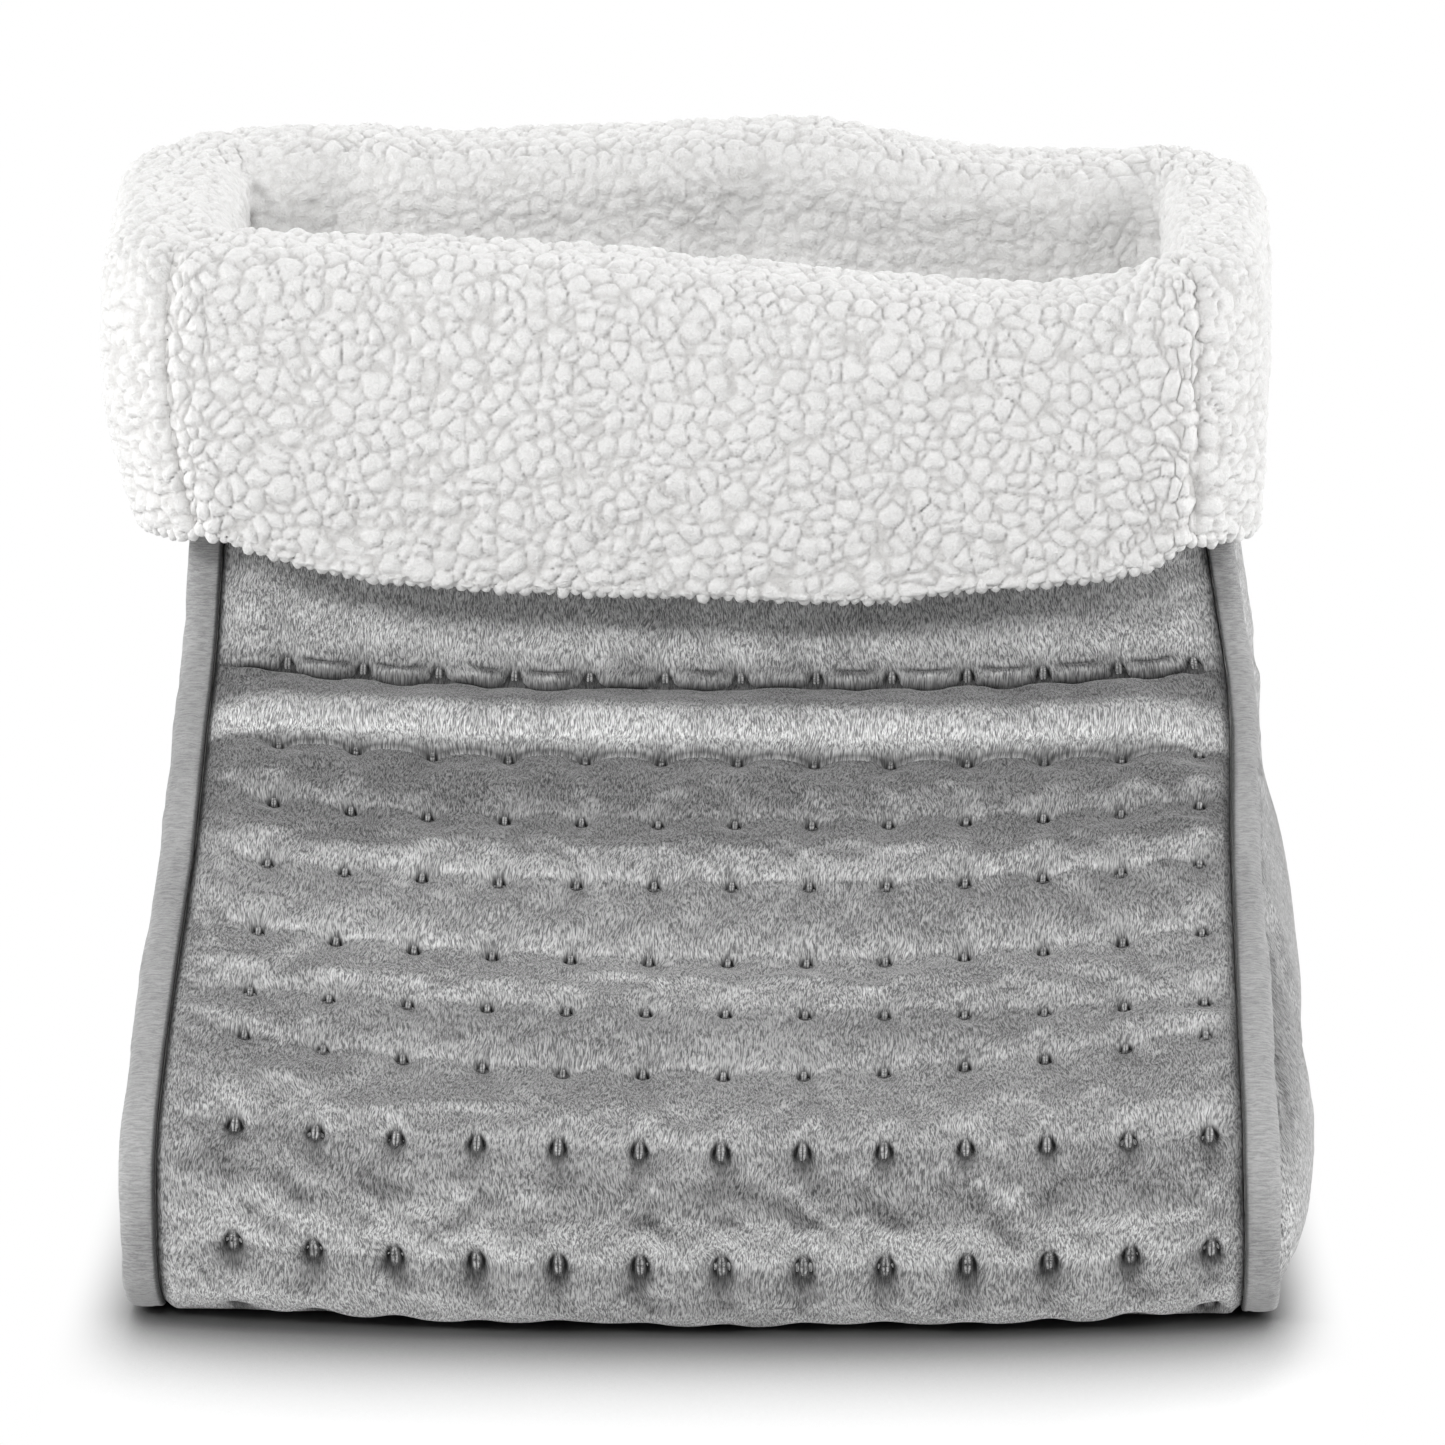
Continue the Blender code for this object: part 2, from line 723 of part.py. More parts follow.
def ring_point(corner, angle, reach, level):
    """A point on the cuff's rounded rectangle: reach is outwards, level is over the rim."""
    share = (reach + cuff_inner_reach) / (cuff_outer_reach + cuff_inner_reach)
    radius = cuff_inner_corner_radius + share * (cuff_outer_corner_radius
                                                 - cuff_inner_corner_radius)
    sx, sy = corner
    x = sx * (cuff_half_width + reach * cuff_side_share - radius) + radius * math.cos(angle)
    edge = back_y + reach if sy > 0 else front_y + lean_slope * level - reach
    y = edge - sy * radius + radius * math.sin(angle)
    return Vector((x, y))


def cuff_section():
    """Middle line of the turned-down cuff: (reach, level, half thickness, angle)."""
    rows = [(-cuff_inner_reach, -cuff_lap, cuff_end_half_thickness, math.pi)]
    for i in range(fold_steps + 1):
        angle = math.pi - math.pi / 2 * i / fold_steps
        half = cuff_half_thickness if i else cuff_end_half_thickness
        rows.append((-cuff_inner_reach + cuff_fold_radius * (1 + math.cos(angle)),
                     cuff_fold_radius * math.sin(angle), half, angle))
    for i in range(fold_steps + 1):
        angle = math.pi / 2 - math.pi / 2 * i / fold_steps
        rows.append((cuff_outer_reach - cuff_fold_radius * (1 - math.cos(angle)),
                     cuff_fold_radius * math.sin(angle), cuff_half_thickness, angle))
    return rows


def cuff_loop(corner_a, corner_b, leg):
    """One cross-section of the cuff at a place on the ring, as a closed loop."""
    outer, inner = [], []
    for reach, level, half, angle in cuff_section():
        outer.append((reach + half * math.cos(angle), level + half * math.sin(angle)))
        inner.append((reach - half * math.cos(angle), level - half * math.sin(angle)))
    for share in cuff_leg_shares:
        swell = cuff_swell * math.sin(math.pi * share)
        outer.append((cuff_outer_reach + cuff_half_thickness + swell, -leg * share))
        inner.append((cuff_outer_reach - cuff_half_thickness, -leg * share))
    outer.append((cuff_outer_reach, -leg - cuff_hem_rounding))
    return [cuff_place(corner_a, corner_b, r, v) for r, v in outer + inner[::-1]]


def cuff_place(place_a, place_b, reach, level):
    """A station is a corner place, or a share of the straight run between two of them."""
    (corner, angle), share = place_a, 0.0
    spot = ring_point(corner, angle, reach, level)
    if place_b:
        (corner_b, angle_b), share = place_b
        spot = spot.lerp(ring_point(corner_b, angle_b, reach, level), share)
    z = rim_front_height + rim_slope * (spot.y - front_y) + level
    return Vector((spot.x, spot.y, z))


def cuff(name, corner_a, corner_b, start):
    """A quarter of the cuff, from the middle of one corner to the middle of the next."""
    step = math.pi / 4 / corner_steps
    stations = []
    for i in range(corner_steps + 1):
        stations.append(((corner_a, start + i * step), None, 0.0))
    straight = start + math.pi / 4
    for i in range(1, cuff_spans):
        share = i / cuff_spans
        stations.append(((corner_a, straight), ((corner_b, straight), share),
                         math.sin(math.pi * share)))
    for i in range(corner_steps + 1):
        stations.append(((corner_b, straight + i * step), None, 0.0))
    droop = cuff_droop[name]
    loops = [cuff_loop(a, b, cuff_corner_leg + droop * sag) for a, b, sag in stations]
    for loop, angle, way in ((loops[0], start, 1), (loops[-1], start + math.pi / 2, -1)):
        shift = Vector((-math.sin(angle), math.cos(angle), 0.0)) * way * piece_gap / 2
        for i, point in enumerate(loop):
            loop[i] = point + shift
    sweep(f"cuff_{name}", sherpa, loops, round_edge_angle)


def linings():
    top_drop = cuff_lap + piece_gap
    front_top = max(wall_station(lining_top, top_drop, True),
                    wall_station(lining_bottom, top_drop, True))
    back_top = min(wall_station(lining_top, top_drop, False),
                   wall_station(lining_bottom, top_drop, False))
    gap = piece_gap / 2
    strip_layer("lining_front", sherpa, lining_top, lining_bottom,
                [front_top] + shaft_stations[1:] + [bend_start - gap])
    strip_layer("lining_instep", sherpa, lining_top, lining_bottom,
                [bend_start + gap] + bend_stations[1:] + instep_stations + toe_top_stations
                + [toe_top_end, toe_low_start - gap])
    strip_layer("lining_sole", sherpa, lining_top, lining_bottom,
                [toe_low_start + gap] + toe_low_stations[1:] + [toe_low_end, heel_start - gap])
    strip_layer("lining_back", sherpa, lining_top, lining_bottom,
                [heel_start + gap] + heel_stations[1:] + back_stations + [back_top])


def waddings():
    gap = piece_gap / 2
    strip_layer("wadding_front", fill, wadding_top, wadding_bottom,
                front_knots + [toe_low_end - gap])
    strip_layer("sole_foam", foam, wadding_top, wadding_top + foam_thickness,
                [toe_low_end + gap, heel_start - gap])
    made = strip_layer("wadding_back", fill, wadding_top, wadding_bottom,
                       [heel_start + gap] + heel_stations[1:] + back_stations + [back_rim_s])
    inlet_cut(made, inlet_barrel_width, inlet_barrel_height)


def wire_runs():
    """Places of the wire's runs across: one in each quilted channel, then along the sole."""
    runs = [(a + b) / 2 for a, b in zip(row_stations, row_stations[1:])][:-1]
    start = toe_low_end + toe_wrap
    runs += [start + i * sole_run_pitch for i in range(sole_runs)]
    return [s for s in runs if s > bend_end + wire_top_margin]


def wire_path():
    """The serpentine, from its far end on the instep to its start at the heel."""
    depth = heater_seat - wire_diameter / 2
    columns = [c for c in inner_columns if abs(c) < wire_half_run]
    turn_x = wire_half_run + wire_turn
    path = []
    runs = wire_runs()
    for i, s in enumerate(runs):
        side = -1 if i % 2 else 1
        xs = [side * wire_half_run] + [side * c for c in columns[::-1]] + [-side * wire_half_run]
        path += [facet_point(x, s, depth) for x in xs]
        if i + 1 < len(runs):
            step = runs[i + 1] - s
            stops = [s + step * share for share in wire_turn_shares]
            stops += [k for k in facet_stations if stops[0] < k < stops[-1]
                      and min(k - stops[0], stops[-1] - k) > wire_diameter]
            path += [facet_point(-side * turn_x, stop, depth) for stop in sorted(stops)]
    return path


def least_self_gap(path, diameter, skip):
    """Least space between stretches of a wire that aren't neighbours along it."""
    least = None
    for i, a in enumerate(path):
        for b in path[i + skip:]:
            space = (a - b).length - diameter
            least = space if least is None else min(least, space)
    return least


def heater():
    gap = piece_gap / 2
    first = bend_start + gap
    last = heel_start - gap
    strip_layer("heater_carrier", felt, carrier_top, carrier_bottom,
                [first] + bend_stations[1:] + instep_stations + toe_top_stations
                + [toe_top_end] + toe_low_stations + [toe_low_end, last])
    path = wire_path()
    tube("heating_wire", wire_skin, path, wire_diameter)
    print("heating wire, least gap to itself, mm:",
          round(least_self_gap(path, wire_diameter, gap_skip) / MM, 2))
    far_end = wire_half_run + piece_gap
    depth = heater_seat - splice_diameter / 2
    tube("end_splice", white_plastic,
         [facet_point(far_end, wire_runs()[0], depth),
          facet_point(far_end + splice_length, wire_runs()[0], depth)], splice_diameter)
    supply(1 if path[-1].x > 0 else -1)


def supply(side):
    """From the wire's start at the heel: a thermal cut-out, then the lead up to the inlet."""
    s = wire_runs()[-1]
    near = side * (wire_half_run + piece_gap)
    far = near + side * cutout_length
    loops = []
    for x in (near, far):
        loops.append([facet_point(x, s - cutout_width / 2, heater_seat),
                      facet_point(x, s + cutout_width / 2, heater_seat),
                      facet_point(x, s + cutout_width / 2, heater_seat - cutout_thickness),
                      facet_point(x, s - cutout_width / 2, heater_seat - cutout_thickness)])
    sweep("thermal_cutout", white_plastic, loops)
    depth = heater_seat - lead_diameter / 2
    lead_x = (near + far) / 2
    top = inlet_s - inlet_barrel_height / 2 - backplate_margin - piece_gap
    stops = [s + cutout_width / 2 + piece_gap] + heel_stations + [heel_end]
    path = [facet_point(lead_x, stop, depth) for stop in stops]
    for stop in (top - lead_rise, top):
        path.append(facet_point(inlet_x, stop, depth))
    tube("supply_lead", wire_skin, path, lead_diameter)


def build():
    clear_scene()
    front_panel()
    sole_panel()
    back_panel()
    waddings()
    linings()
    heater()
    inlet_parts()
    for side in ("left", "right"):
        side_walls(side)
        binding(side)
    front_left, front_right = (-1, -1), (1, -1)
    back_left, back_right = (-1, 1), (1, 1)
    quarter = math.pi / 4
    cuff("front", front_left, front_right, -3 * quarter)
    cuff("right", front_right, back_right, -quarter)
    cuff("back", back_right, back_left, quarter)
    cuff("left", back_left, front_left, 3 * quarter)


build()
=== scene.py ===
import functools
import itertools
import math

import bpy
import numpy as np
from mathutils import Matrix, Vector


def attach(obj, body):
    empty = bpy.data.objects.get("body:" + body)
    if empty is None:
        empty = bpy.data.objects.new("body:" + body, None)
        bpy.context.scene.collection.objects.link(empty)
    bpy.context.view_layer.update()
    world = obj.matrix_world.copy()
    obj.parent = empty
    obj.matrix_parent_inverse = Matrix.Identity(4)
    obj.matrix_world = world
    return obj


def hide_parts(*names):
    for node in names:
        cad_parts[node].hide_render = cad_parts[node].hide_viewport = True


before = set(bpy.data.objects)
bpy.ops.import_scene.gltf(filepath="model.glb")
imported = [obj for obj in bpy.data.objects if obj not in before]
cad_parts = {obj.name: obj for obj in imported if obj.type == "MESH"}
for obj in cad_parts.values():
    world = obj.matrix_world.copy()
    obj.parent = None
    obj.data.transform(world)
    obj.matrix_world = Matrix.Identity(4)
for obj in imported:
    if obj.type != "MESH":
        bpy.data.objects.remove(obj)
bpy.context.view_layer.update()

MM = 0.001

# Sizes shared with the solids
strip_half_width = 133.5 * MM
foot_length = 155.0 * MM
shaft_lean = 8.0 * MM
shaft_depth = 145.0 * MM
toe_height = 48.0 * MM
bend_height = 140.0 * MM
rim_front_height = 231.5 * MM
rim_rise = 15.5 * MM
toe_top_radius = 26.0 * MM
toe_bottom_radius = 21.0 * MM
bend_radius = 33.0 * MM
heel_radius = 30.0 * MM
crown_half_width = 122.0 * MM
bend_crown = -6.0 * MM
instep_crown = -7.0 * MM
toe_top_crown = -2.0 * MM
toe_crown = 9.0 * MM
crown_power = 3
panel_thickness = 3.0 * MM
wadding_top = 3.3 * MM
wadding_bottom = 8.0 * MM
foam_bottom = 8.0 * MM
carrier_top = 11.4 * MM
carrier_bottom = 12.2 * MM
lining_top = 12.5 * MM
lining_bottom = 18.4 * MM
piece_gap = 0.3 * MM
side_inset = 4.1 * MM
side_wadding_near = 133.8 * MM
side_wadding_far = 136.8 * MM
side_panel_near = 137.1 * MM
side_panel_far = 139.8 * MM
side_lining_inset = 19.3 * MM
side_lining_near = 126.8 * MM
side_bulge = {"left": 6.0 * MM, "right": 15.0 * MM}
bulge_toe_share = 0.25
bulge_rim_share = 0.2
bulge_rise_share = 0.6
bulge_roundness = 0.8
tack_pitch = 20.0 * MM
tack_shift = 5.5 * MM
tack_edge_room = 7.5 * MM
toe_wrap = 14.0 * MM
back_row_pitch = 30.0 * MM
back_rows = 7
back_first_row = 52.0 * MM
inlet_x = 84.0 * MM
inlet_height = 62.0 * MM
inlet_hole = (34.6 * MM, 16.6 * MM)
inlet_flange = (44.0 * MM, 26.0 * MM)
binding_width = 9.0 * MM
binding_proud = 1.5 * MM
binding_thickness = 4.7 * MM
binding_floor_lift = 0.5 * MM
cuff_half_width = 142.2 * MM
cuff_side_share = 0.82
cuff_lap = 8.0 * MM
cuff_reach = 15.0 * MM
cuff_fold_radius = 8.0 * MM
cuff_half_thickness = 4.75 * MM
cuff_end_half_thickness = 2.9 * MM
cuff_corner_radii = (4.0 * MM, 26.0 * MM)

# Places that follow
toe_y = -158.325 * MM
bend_y = toe_y + foot_length
front_y = bend_y + shaft_lean
back_y = front_y + shaft_depth
rim_slope = rim_rise / shaft_depth
lean_slope = shaft_lean / (rim_front_height - bend_height)
heart = np.array([0.0, 0.0, 100.0 * MM])


def rim_height(y):
    return rim_front_height + rim_slope * (y - front_y)


# Soft steps and repeatable noise
def smooth(share):
    share = np.clip(share, 0.0, 1.0)
    return share * share * (3 - 2 * share)


def ramp(value, low, high):
    """A soft step from 0 at low to 1 at high."""
    return smooth((value - low) / (high - low))


def bell(value, width):
    """1 at zero, falling off over the width to both sides."""
    return np.exp(-(value / width) ** 2)


def stepped(at, knots, values):
    """Soft steps from knot to knot, and 0 outside them."""
    made = np.zeros(np.broadcast(at, values[0]).shape)
    for (a, b), (low, high) in zip(zip(knots, knots[1:]), zip(values, values[1:])):
        made = np.where((at >= a) & (at <= b), low + (high - low) * ramp(at, a, b), made)
    return made


def hashed(cells, seed):
    """A repeatable number from 0 to 1 for each whole-numbered cell."""
    mixed = cells[..., 0] * 73856093 ^ cells[..., 1] * 19349663 ^ cells[..., 2] * 83492791
    mixed = (mixed ^ seed * 40503) & 0xFFFFFFFF
    mixed = (mixed ^ (mixed >> 13)) * 1274126177 & 0xFFFFFFFF
    mixed = (mixed ^ (mixed >> 16)) * 668265263 & 0xFFFFFFFF
    return (mixed ^ (mixed >> 15)) / 4294967296.0


def noise(points, size, seed):
    """Smooth noise from -1 to 1; size is the distance between its knots, one or one per axis."""
    spot = points / size
    base = np.floor(spot).astype(np.int64)
    share = smooth(spot - base)
    total = 0.0
    for corner in itertools.product((0, 1), repeat=3):
        weight = 1.0
        for axis, bit in enumerate(corner):
            weight = weight * (share[..., axis] if bit else 1 - share[..., axis])
        total = total + weight * hashed(base + np.array(corner), seed)
    return 2 * total - 1


def flat_noise(x, s, wide, long, seed):
    """Noise on a sheet, with its two sizes in millimetres."""
    return noise(np.stack([x, s, 0 * x], -1), np.array([wide * MM, long * MM, 1.0]), seed)


def line_noise(x, wide, seed):
    return flat_noise(x, 0 * x, wide, 1000, seed)


def cells(points, size, seed):
    """Distance to the nearest scattered point and how much farther the second is, in cells."""
    spot = points / size
    base = np.floor(spot).astype(np.int64)
    first = np.full(spot.shape[:-1], 9.0)
    second = first.copy()
    for step in itertools.product((-1, 0, 1), repeat=3):
        cell = base + np.array(step)
        centre = np.stack([cell[..., k] + hashed(cell, seed + k) for k in range(3)], -1)
        away = np.sqrt(((spot - centre) ** 2).sum(-1))
        closer = away < first
        second = np.where(closer, first, np.minimum(second, away))
        first = np.where(closer, away, first)
    return first, second - first


# Meshes
def mesh_piece(name, points, blocks, looks, uv=None, values=None):
    """One mesh from points and blocks of faces, turned to face outwards where it is closed."""
    corners = np.concatenate([np.asarray(b).ravel() for b in blocks])
    counts = np.concatenate([np.full(len(b), len(b[0])) for b in blocks])
    used, corners = np.unique(corners, return_inverse=True)
    points, corners = points[used], corners.astype(np.int32)
    points[:, 2] = np.maximum(points[:, 2], 0.0)
    data = bpy.data.meshes.new(name)
    data.vertices.add(len(points))
    data.vertices.foreach_set("co", points.astype(np.float32).ravel())
    data.loops.add(len(corners))
    data.loops.foreach_set("vertex_index", corners)
    data.polygons.add(len(counts))
    data.polygons.foreach_set("loop_start", (np.cumsum(counts) - counts).astype(np.int32))
    data.update(calc_edges=True)
    if uv is not None:
        layer = data.uv_layers.new(name="cloth")
        layer.data.foreach_set("uv", uv[used][corners].astype(np.float32).ravel())
    for key, value in (values or {}).items():
        made = data.attributes.new(key, "FLOAT", "POINT")
        made.data.foreach_set("value", value.ravel()[used].astype(np.float32))
    data.calc_loop_triangles()
    tri = np.zeros(len(data.loop_triangles) * 3, np.int32)
    data.loop_triangles.foreach_get("vertices", tri)
    a, b, c = (points[tri.reshape(-1, 3)[:, k]] for k in range(3))
    if (a * np.cross(b, c)).sum() < 0:
        data.flip_normals()
    data.shade_smooth()
    data.validate()
    piece = bpy.data.objects.new(name, data)
    data.materials.append(looks)
    bpy.context.scene.collection.objects.link(piece)
    return piece


def dress(piece, slot, node=None, fill=0.6):
    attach(piece, "root")
    if node:
        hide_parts(node)


def quads(rows, columns, base=0, wrap=False):
    """The faces of a grid of points; wrap joins the last column to the first."""
    r = np.arange(rows - 1)[:, None] * columns
    c = np.arange(columns if wrap else columns - 1)[None, :]
    d = (c + 1) % columns
    return np.stack([r + c, r + d, r + columns + d, r + columns + c], -1).reshape(-1, 4) + base


def groups(faces):
    """Faces of mixed corner counts as one block for each count."""
    found = {}
    for face in faces:
        found.setdefault(len(face), []).append(face)
    return list(found.values())


def ring_faces(stations, around):
    """The faces of a closed bar: its sides and both of its ends."""
    ends = [list(range(around)), [(stations - 1) * around + i for i in range(around)][::-1]]
    return [quads(stations, around, wrap=True)[:, ::-1]] + groups(ends)


def slab(name, slot, node, looks, outer, inner, rows, cols, uv, values, hole=None, fill=0.6):
    """A closed sheet: a fine outer grid, and an inner one kept at some of its rows and columns."""
    m, n = outer.shape[:2]
    k, j, base = len(rows), len(cols), m * n

    def joined(fine, coarse):
        coarse = coarse[np.ix_(rows, cols)]
        return np.concatenate([fine.reshape(m * n, -1), coarse.reshape(k * j, -1)])

    outer_faces, inner_faces = quads(m, n), quads(k, j, base)[:, ::-1]
    walls = rim_walls(rows, cols, n, base, (0, k - 1, 0, j - 1), 1)
    if hole is not None:
        span = [places.index(i) for places, i in zip((rows, rows, cols, cols), hole)]
        outer_faces, inner_faces = without(outer_faces, m, n, hole), without(inner_faces, k, j, span)
        walls += rim_walls(rows, cols, n, base, span, -1)
    values = {key: joined(value, value) for key, value in values.items()}
    piece = mesh_piece(name, joined(outer, inner), [outer_faces, inner_faces] + groups(walls), looks,
                       joined(uv, uv), values)
    dress(piece, slot, node, fill)


def rim_walls(rows, cols, n, base, span, turn):
    """Walls from the outer grid to the inner one, round a span of the inner rows and columns."""
    first, last, left, right = span
    j, walls = len(cols), []
    for a in range(first, last):
        for column, way in ((left, -turn), (right, turn)):
            edge = [i * n + cols[column] for i in range(rows[a], rows[a + 1] + 1)]
            walls.append((edge + [base + (a + 1) * j + column, base + a * j + column])[::way])
    for a in range(left, right):
        for row, way in ((first, turn), (last, -turn)):
            edge = [rows[row] * n + i for i in range(cols[a], cols[a + 1] + 1)]
            walls.append((edge + [base + row * j + a + 1, base + row * j + a])[::way])
    return walls


def without(faces, rows, columns, hole):
    """The faces of a grid without those between two of its rows and two of its columns."""
    kept = np.ones((rows - 1, columns - 1), bool)
    kept[hole[0]:hole[1], hole[2]:hole[3]] = False
    return faces[kept.ravel()]


def graded(centres, low, high, steps, coarse):
    """Values from low to high, close together round each centre."""
    found = {low, high}
    for centre, step in itertools.product(centres, steps):
        found |= {centre - step, centre + step}
    kept = []
    for value in sorted(v for v in found if low <= v <= high):
        if not kept or value - kept[-1] > steps[1] / 2:
            kept.append(value)
    kept[-1] = high
    filled = [kept[0]]
    for value in kept[1:]:
        count = max(1, math.ceil((value - filled[-1]) / coarse))
        filled += list(np.linspace(filled[-1], value, count + 1)[1:])
    return np.array(filled)


def normals_of(grid, wrap=False):
    """Unit normals of a grid of points, from its own differences."""
    if wrap:
        along = (np.roll(grid, -1, axis=1) - np.roll(grid, 1, axis=1)) / 2
    else:
        along = np.gradient(grid, axis=1)
    made = np.cross(np.gradient(grid, axis=0), along)
    return made / np.maximum(np.linalg.norm(made, axis=-1, keepdims=True), 1e-12)


def turned(normals, away):
    """The normals, turned as a whole to point the way that away does."""
    return normals if (normals * away).sum() >= 0 else -normals


# The strip's side outline
class Outline:
    """Straight runs and bends, each as start, heading, side of the centre, radius and length."""

    def __init__(self, corners, radii):
        self.runs, corners = [], [np.array(c) for c in corners]
        start = corners[0]
        for i, radius in enumerate(radii, 1):
            before = self.unit(corners[i] - corners[i - 1])
            after = self.unit(corners[i + 1] - corners[i])
            turn = math.atan2(before[0] * after[1] - before[1] * after[0], before @ after)
            cut = radius * math.tan(abs(turn) / 2)
            side = np.array([-before[1], before[0]]) * (1 if turn > 0 else -1)
            bend = corners[i] - before * cut
            self.runs.append((start, before, None, 0.0, np.linalg.norm(bend - start)))
            self.runs.append((bend, before, side, radius, radius * abs(turn)))
            start = corners[i] + after * cut
        last = corners[-1] - start
        self.runs.append((start, self.unit(last), None, 0.0, np.linalg.norm(last)))
        self.ends = [0.0] + list(np.cumsum([run[4] for run in self.runs]))

    @staticmethod
    def unit(vector):
        return vector / np.linalg.norm(vector)

    def at(self, s):
        """Points and outward normals at the distances s along the outline."""
        s = np.asarray(s, float)
        place, normal = np.zeros(s.shape + (2,)), np.zeros(s.shape + (2,))
        for i, (start, along, side, radius, length) in enumerate(self.runs):
            here = s >= self.ends[i] if i else np.ones(s.shape, bool)
            rest = (s[here] - self.ends[i])[:, None]
            if side is None:
                spot, heading = start + along * rest, along + 0 * rest
            else:
                angle = rest / radius
                spot = start + side * radius + (along * np.sin(angle) - side * np.cos(angle)) * radius
                heading = along * np.cos(angle) + side * np.sin(angle)
            place[here] = spot
            normal[here] = np.stack([heading[:, 1], -heading[:, 0]], -1)
        return place, normal


outline = Outline(
    [(front_y, rim_front_height), (bend_y, bend_height), (toe_y, toe_height),
     (toe_y, 0.0), (back_y, 0.0), (back_y, rim_front_height + rim_rise)],
    [bend_radius, toe_top_radius, toe_bottom_radius, heel_radius])
(rim_s, bend_start, bend_end, toe_top_start, toe_top_end, toe_low_start,
 toe_low_end, heel_start, heel_end, back_rim_s) = outline.ends
front_end = toe_low_end + toe_wrap

# Rows of tacks: where the solids have them, and where the photo's rows run at three places
row_a_station = bend_start + 19.0 * MM
row_span = toe_low_start + 7.2 * MM - row_a_station
row_stations = [row_a_station + share * row_span
                for share in (0.0, 0.15, 0.27, 0.39, 0.49, 0.61, 0.69, 0.85, 1.0)]
row_stations.append(row_stations[-1] + 24.0 * MM)
row_a, row_b = row_stations[:2]
seen_x = (-114.5 * MM, 45.5 * MM, 125.5 * MM)
seen_rows = (
    (96.2, 97.2, 95.8), (125.2, 126.2, 128.6), (146.5, 148.5, 147.5), (168.5, 170.5, 168.5),
    (193.0, 198.5, 193.5), (214.5, 219.0, 218.0), (230.0, 240.5, 229.0),
    (261.0, 268.5, 262.5), (291.5, 294.8, 292.8), (312.0, 314.5, 313.0),
)
back_first_station = back_rim_s - back_first_row
back_stations = sorted(back_first_station - i * back_row_pitch for i in range(back_rows))
tack_reach = strip_half_width - tack_edge_room
tack_x = tack_shift + tack_pitch * np.arange(math.ceil((-tack_reach - tack_shift) / tack_pitch),
                                             math.floor((tack_reach - tack_shift) / tack_pitch) + 1)


def row_shift(v, x):
    """How far along the strip a nominal station moves so that the rows droop as in the photo."""
    a, b, c = seen_x
    moves = [0.0 * x]
    for station, (ya, yb, yc) in zip(row_stations, seen_rows):
        seen = (ya * (x - b) * (x - c) / ((a - b) * (a - c))
                + yb * (x - a) * (x - c) / ((b - a) * (b - c))
                + yc * (x - a) * (x - b) / ((c - a) * (c - b)))
        moves.append(seen * MM - station)
    return stepped(v, [rim_s, *row_stations, front_end], moves + [0.0 * x])


def crown(s, x):
    """How far the middle of the strip stands out from its sewn edges."""
    knots = [rim_s, bend_start, (bend_end + toe_top_start) / 2, toe_top_start, toe_top_end,
             toe_low_start, toe_low_end]
    rise = stepped(s, knots, [0.0, bend_crown, instep_crown, toe_top_crown, toe_crown, toe_crown, 0.0])
    return rise * (1 - np.minimum(abs(x) / crown_half_width, 1.0) ** crown_power)


def strip(x, s, depth=0.0):
    """Points of the strip at a depth under its outer face."""
    x, s, depth = np.broadcast_arrays(x, s, depth)
    place, normal = outline.at(s)
    spot = place + normal * (crown(s, x) - depth)[..., None]
    return np.stack([x, spot[..., 0], spot[..., 1]], -1)


# The sewn edges as the photo shows them: how far each side stands off the straight edge
edge_heights = np.array([0, 24, 44, 64, 79, 99, 124, 135, 154, 168, 189, 219, 264]) * MM
left_edge_moves = np.array([-0.7, -1.3, -1.3, -1.0, -0.2, 1.2, 1.2, 1.6, 2.6, 3.6, 3.0, 0, 0]) * MM
right_edge_moves = np.array([0, -0.2, -0.8, -0.5, -0.2, 0.4, 2.4, 2.0, -1.0, -3.4, -3.0, 0, 0]) * MM
fitted_front = (100.0 * MM, 60.0 * MM)
follow_heights = (178.0 * MM, 226.0 * MM)


def fitted(points):
    """Moves the soft pieces to the sewn edges that the photo shows, and with the cuff above."""
    x, y, z = points[..., 0], points[..., 1], points[..., 2]
    left = np.interp(z, edge_heights, left_edge_moves)
    right = np.interp(z, edge_heights, right_edge_moves)
    share = np.clip(x / (2 * strip_half_width) + 0.5, -0.1, 1.1)
    moved = points.copy()
    moved[..., 0] = x + (left + (right - left) * share) * ramp(y, *fitted_front)
    above = ramp(z, *follow_heights)[..., None]
    return moved + (rolling(wavy(moved, rim_share(z - rim_height(y)))) - moved) * above


# Cloth simulation
cloth_step = 4.0 * MM
cloth_frames = 20
cloth_quality = 6
cloth_mass = 0.3
cloth_pressure = 4.0
cloth_stretch = 14.0
cloth_bending = 0.4


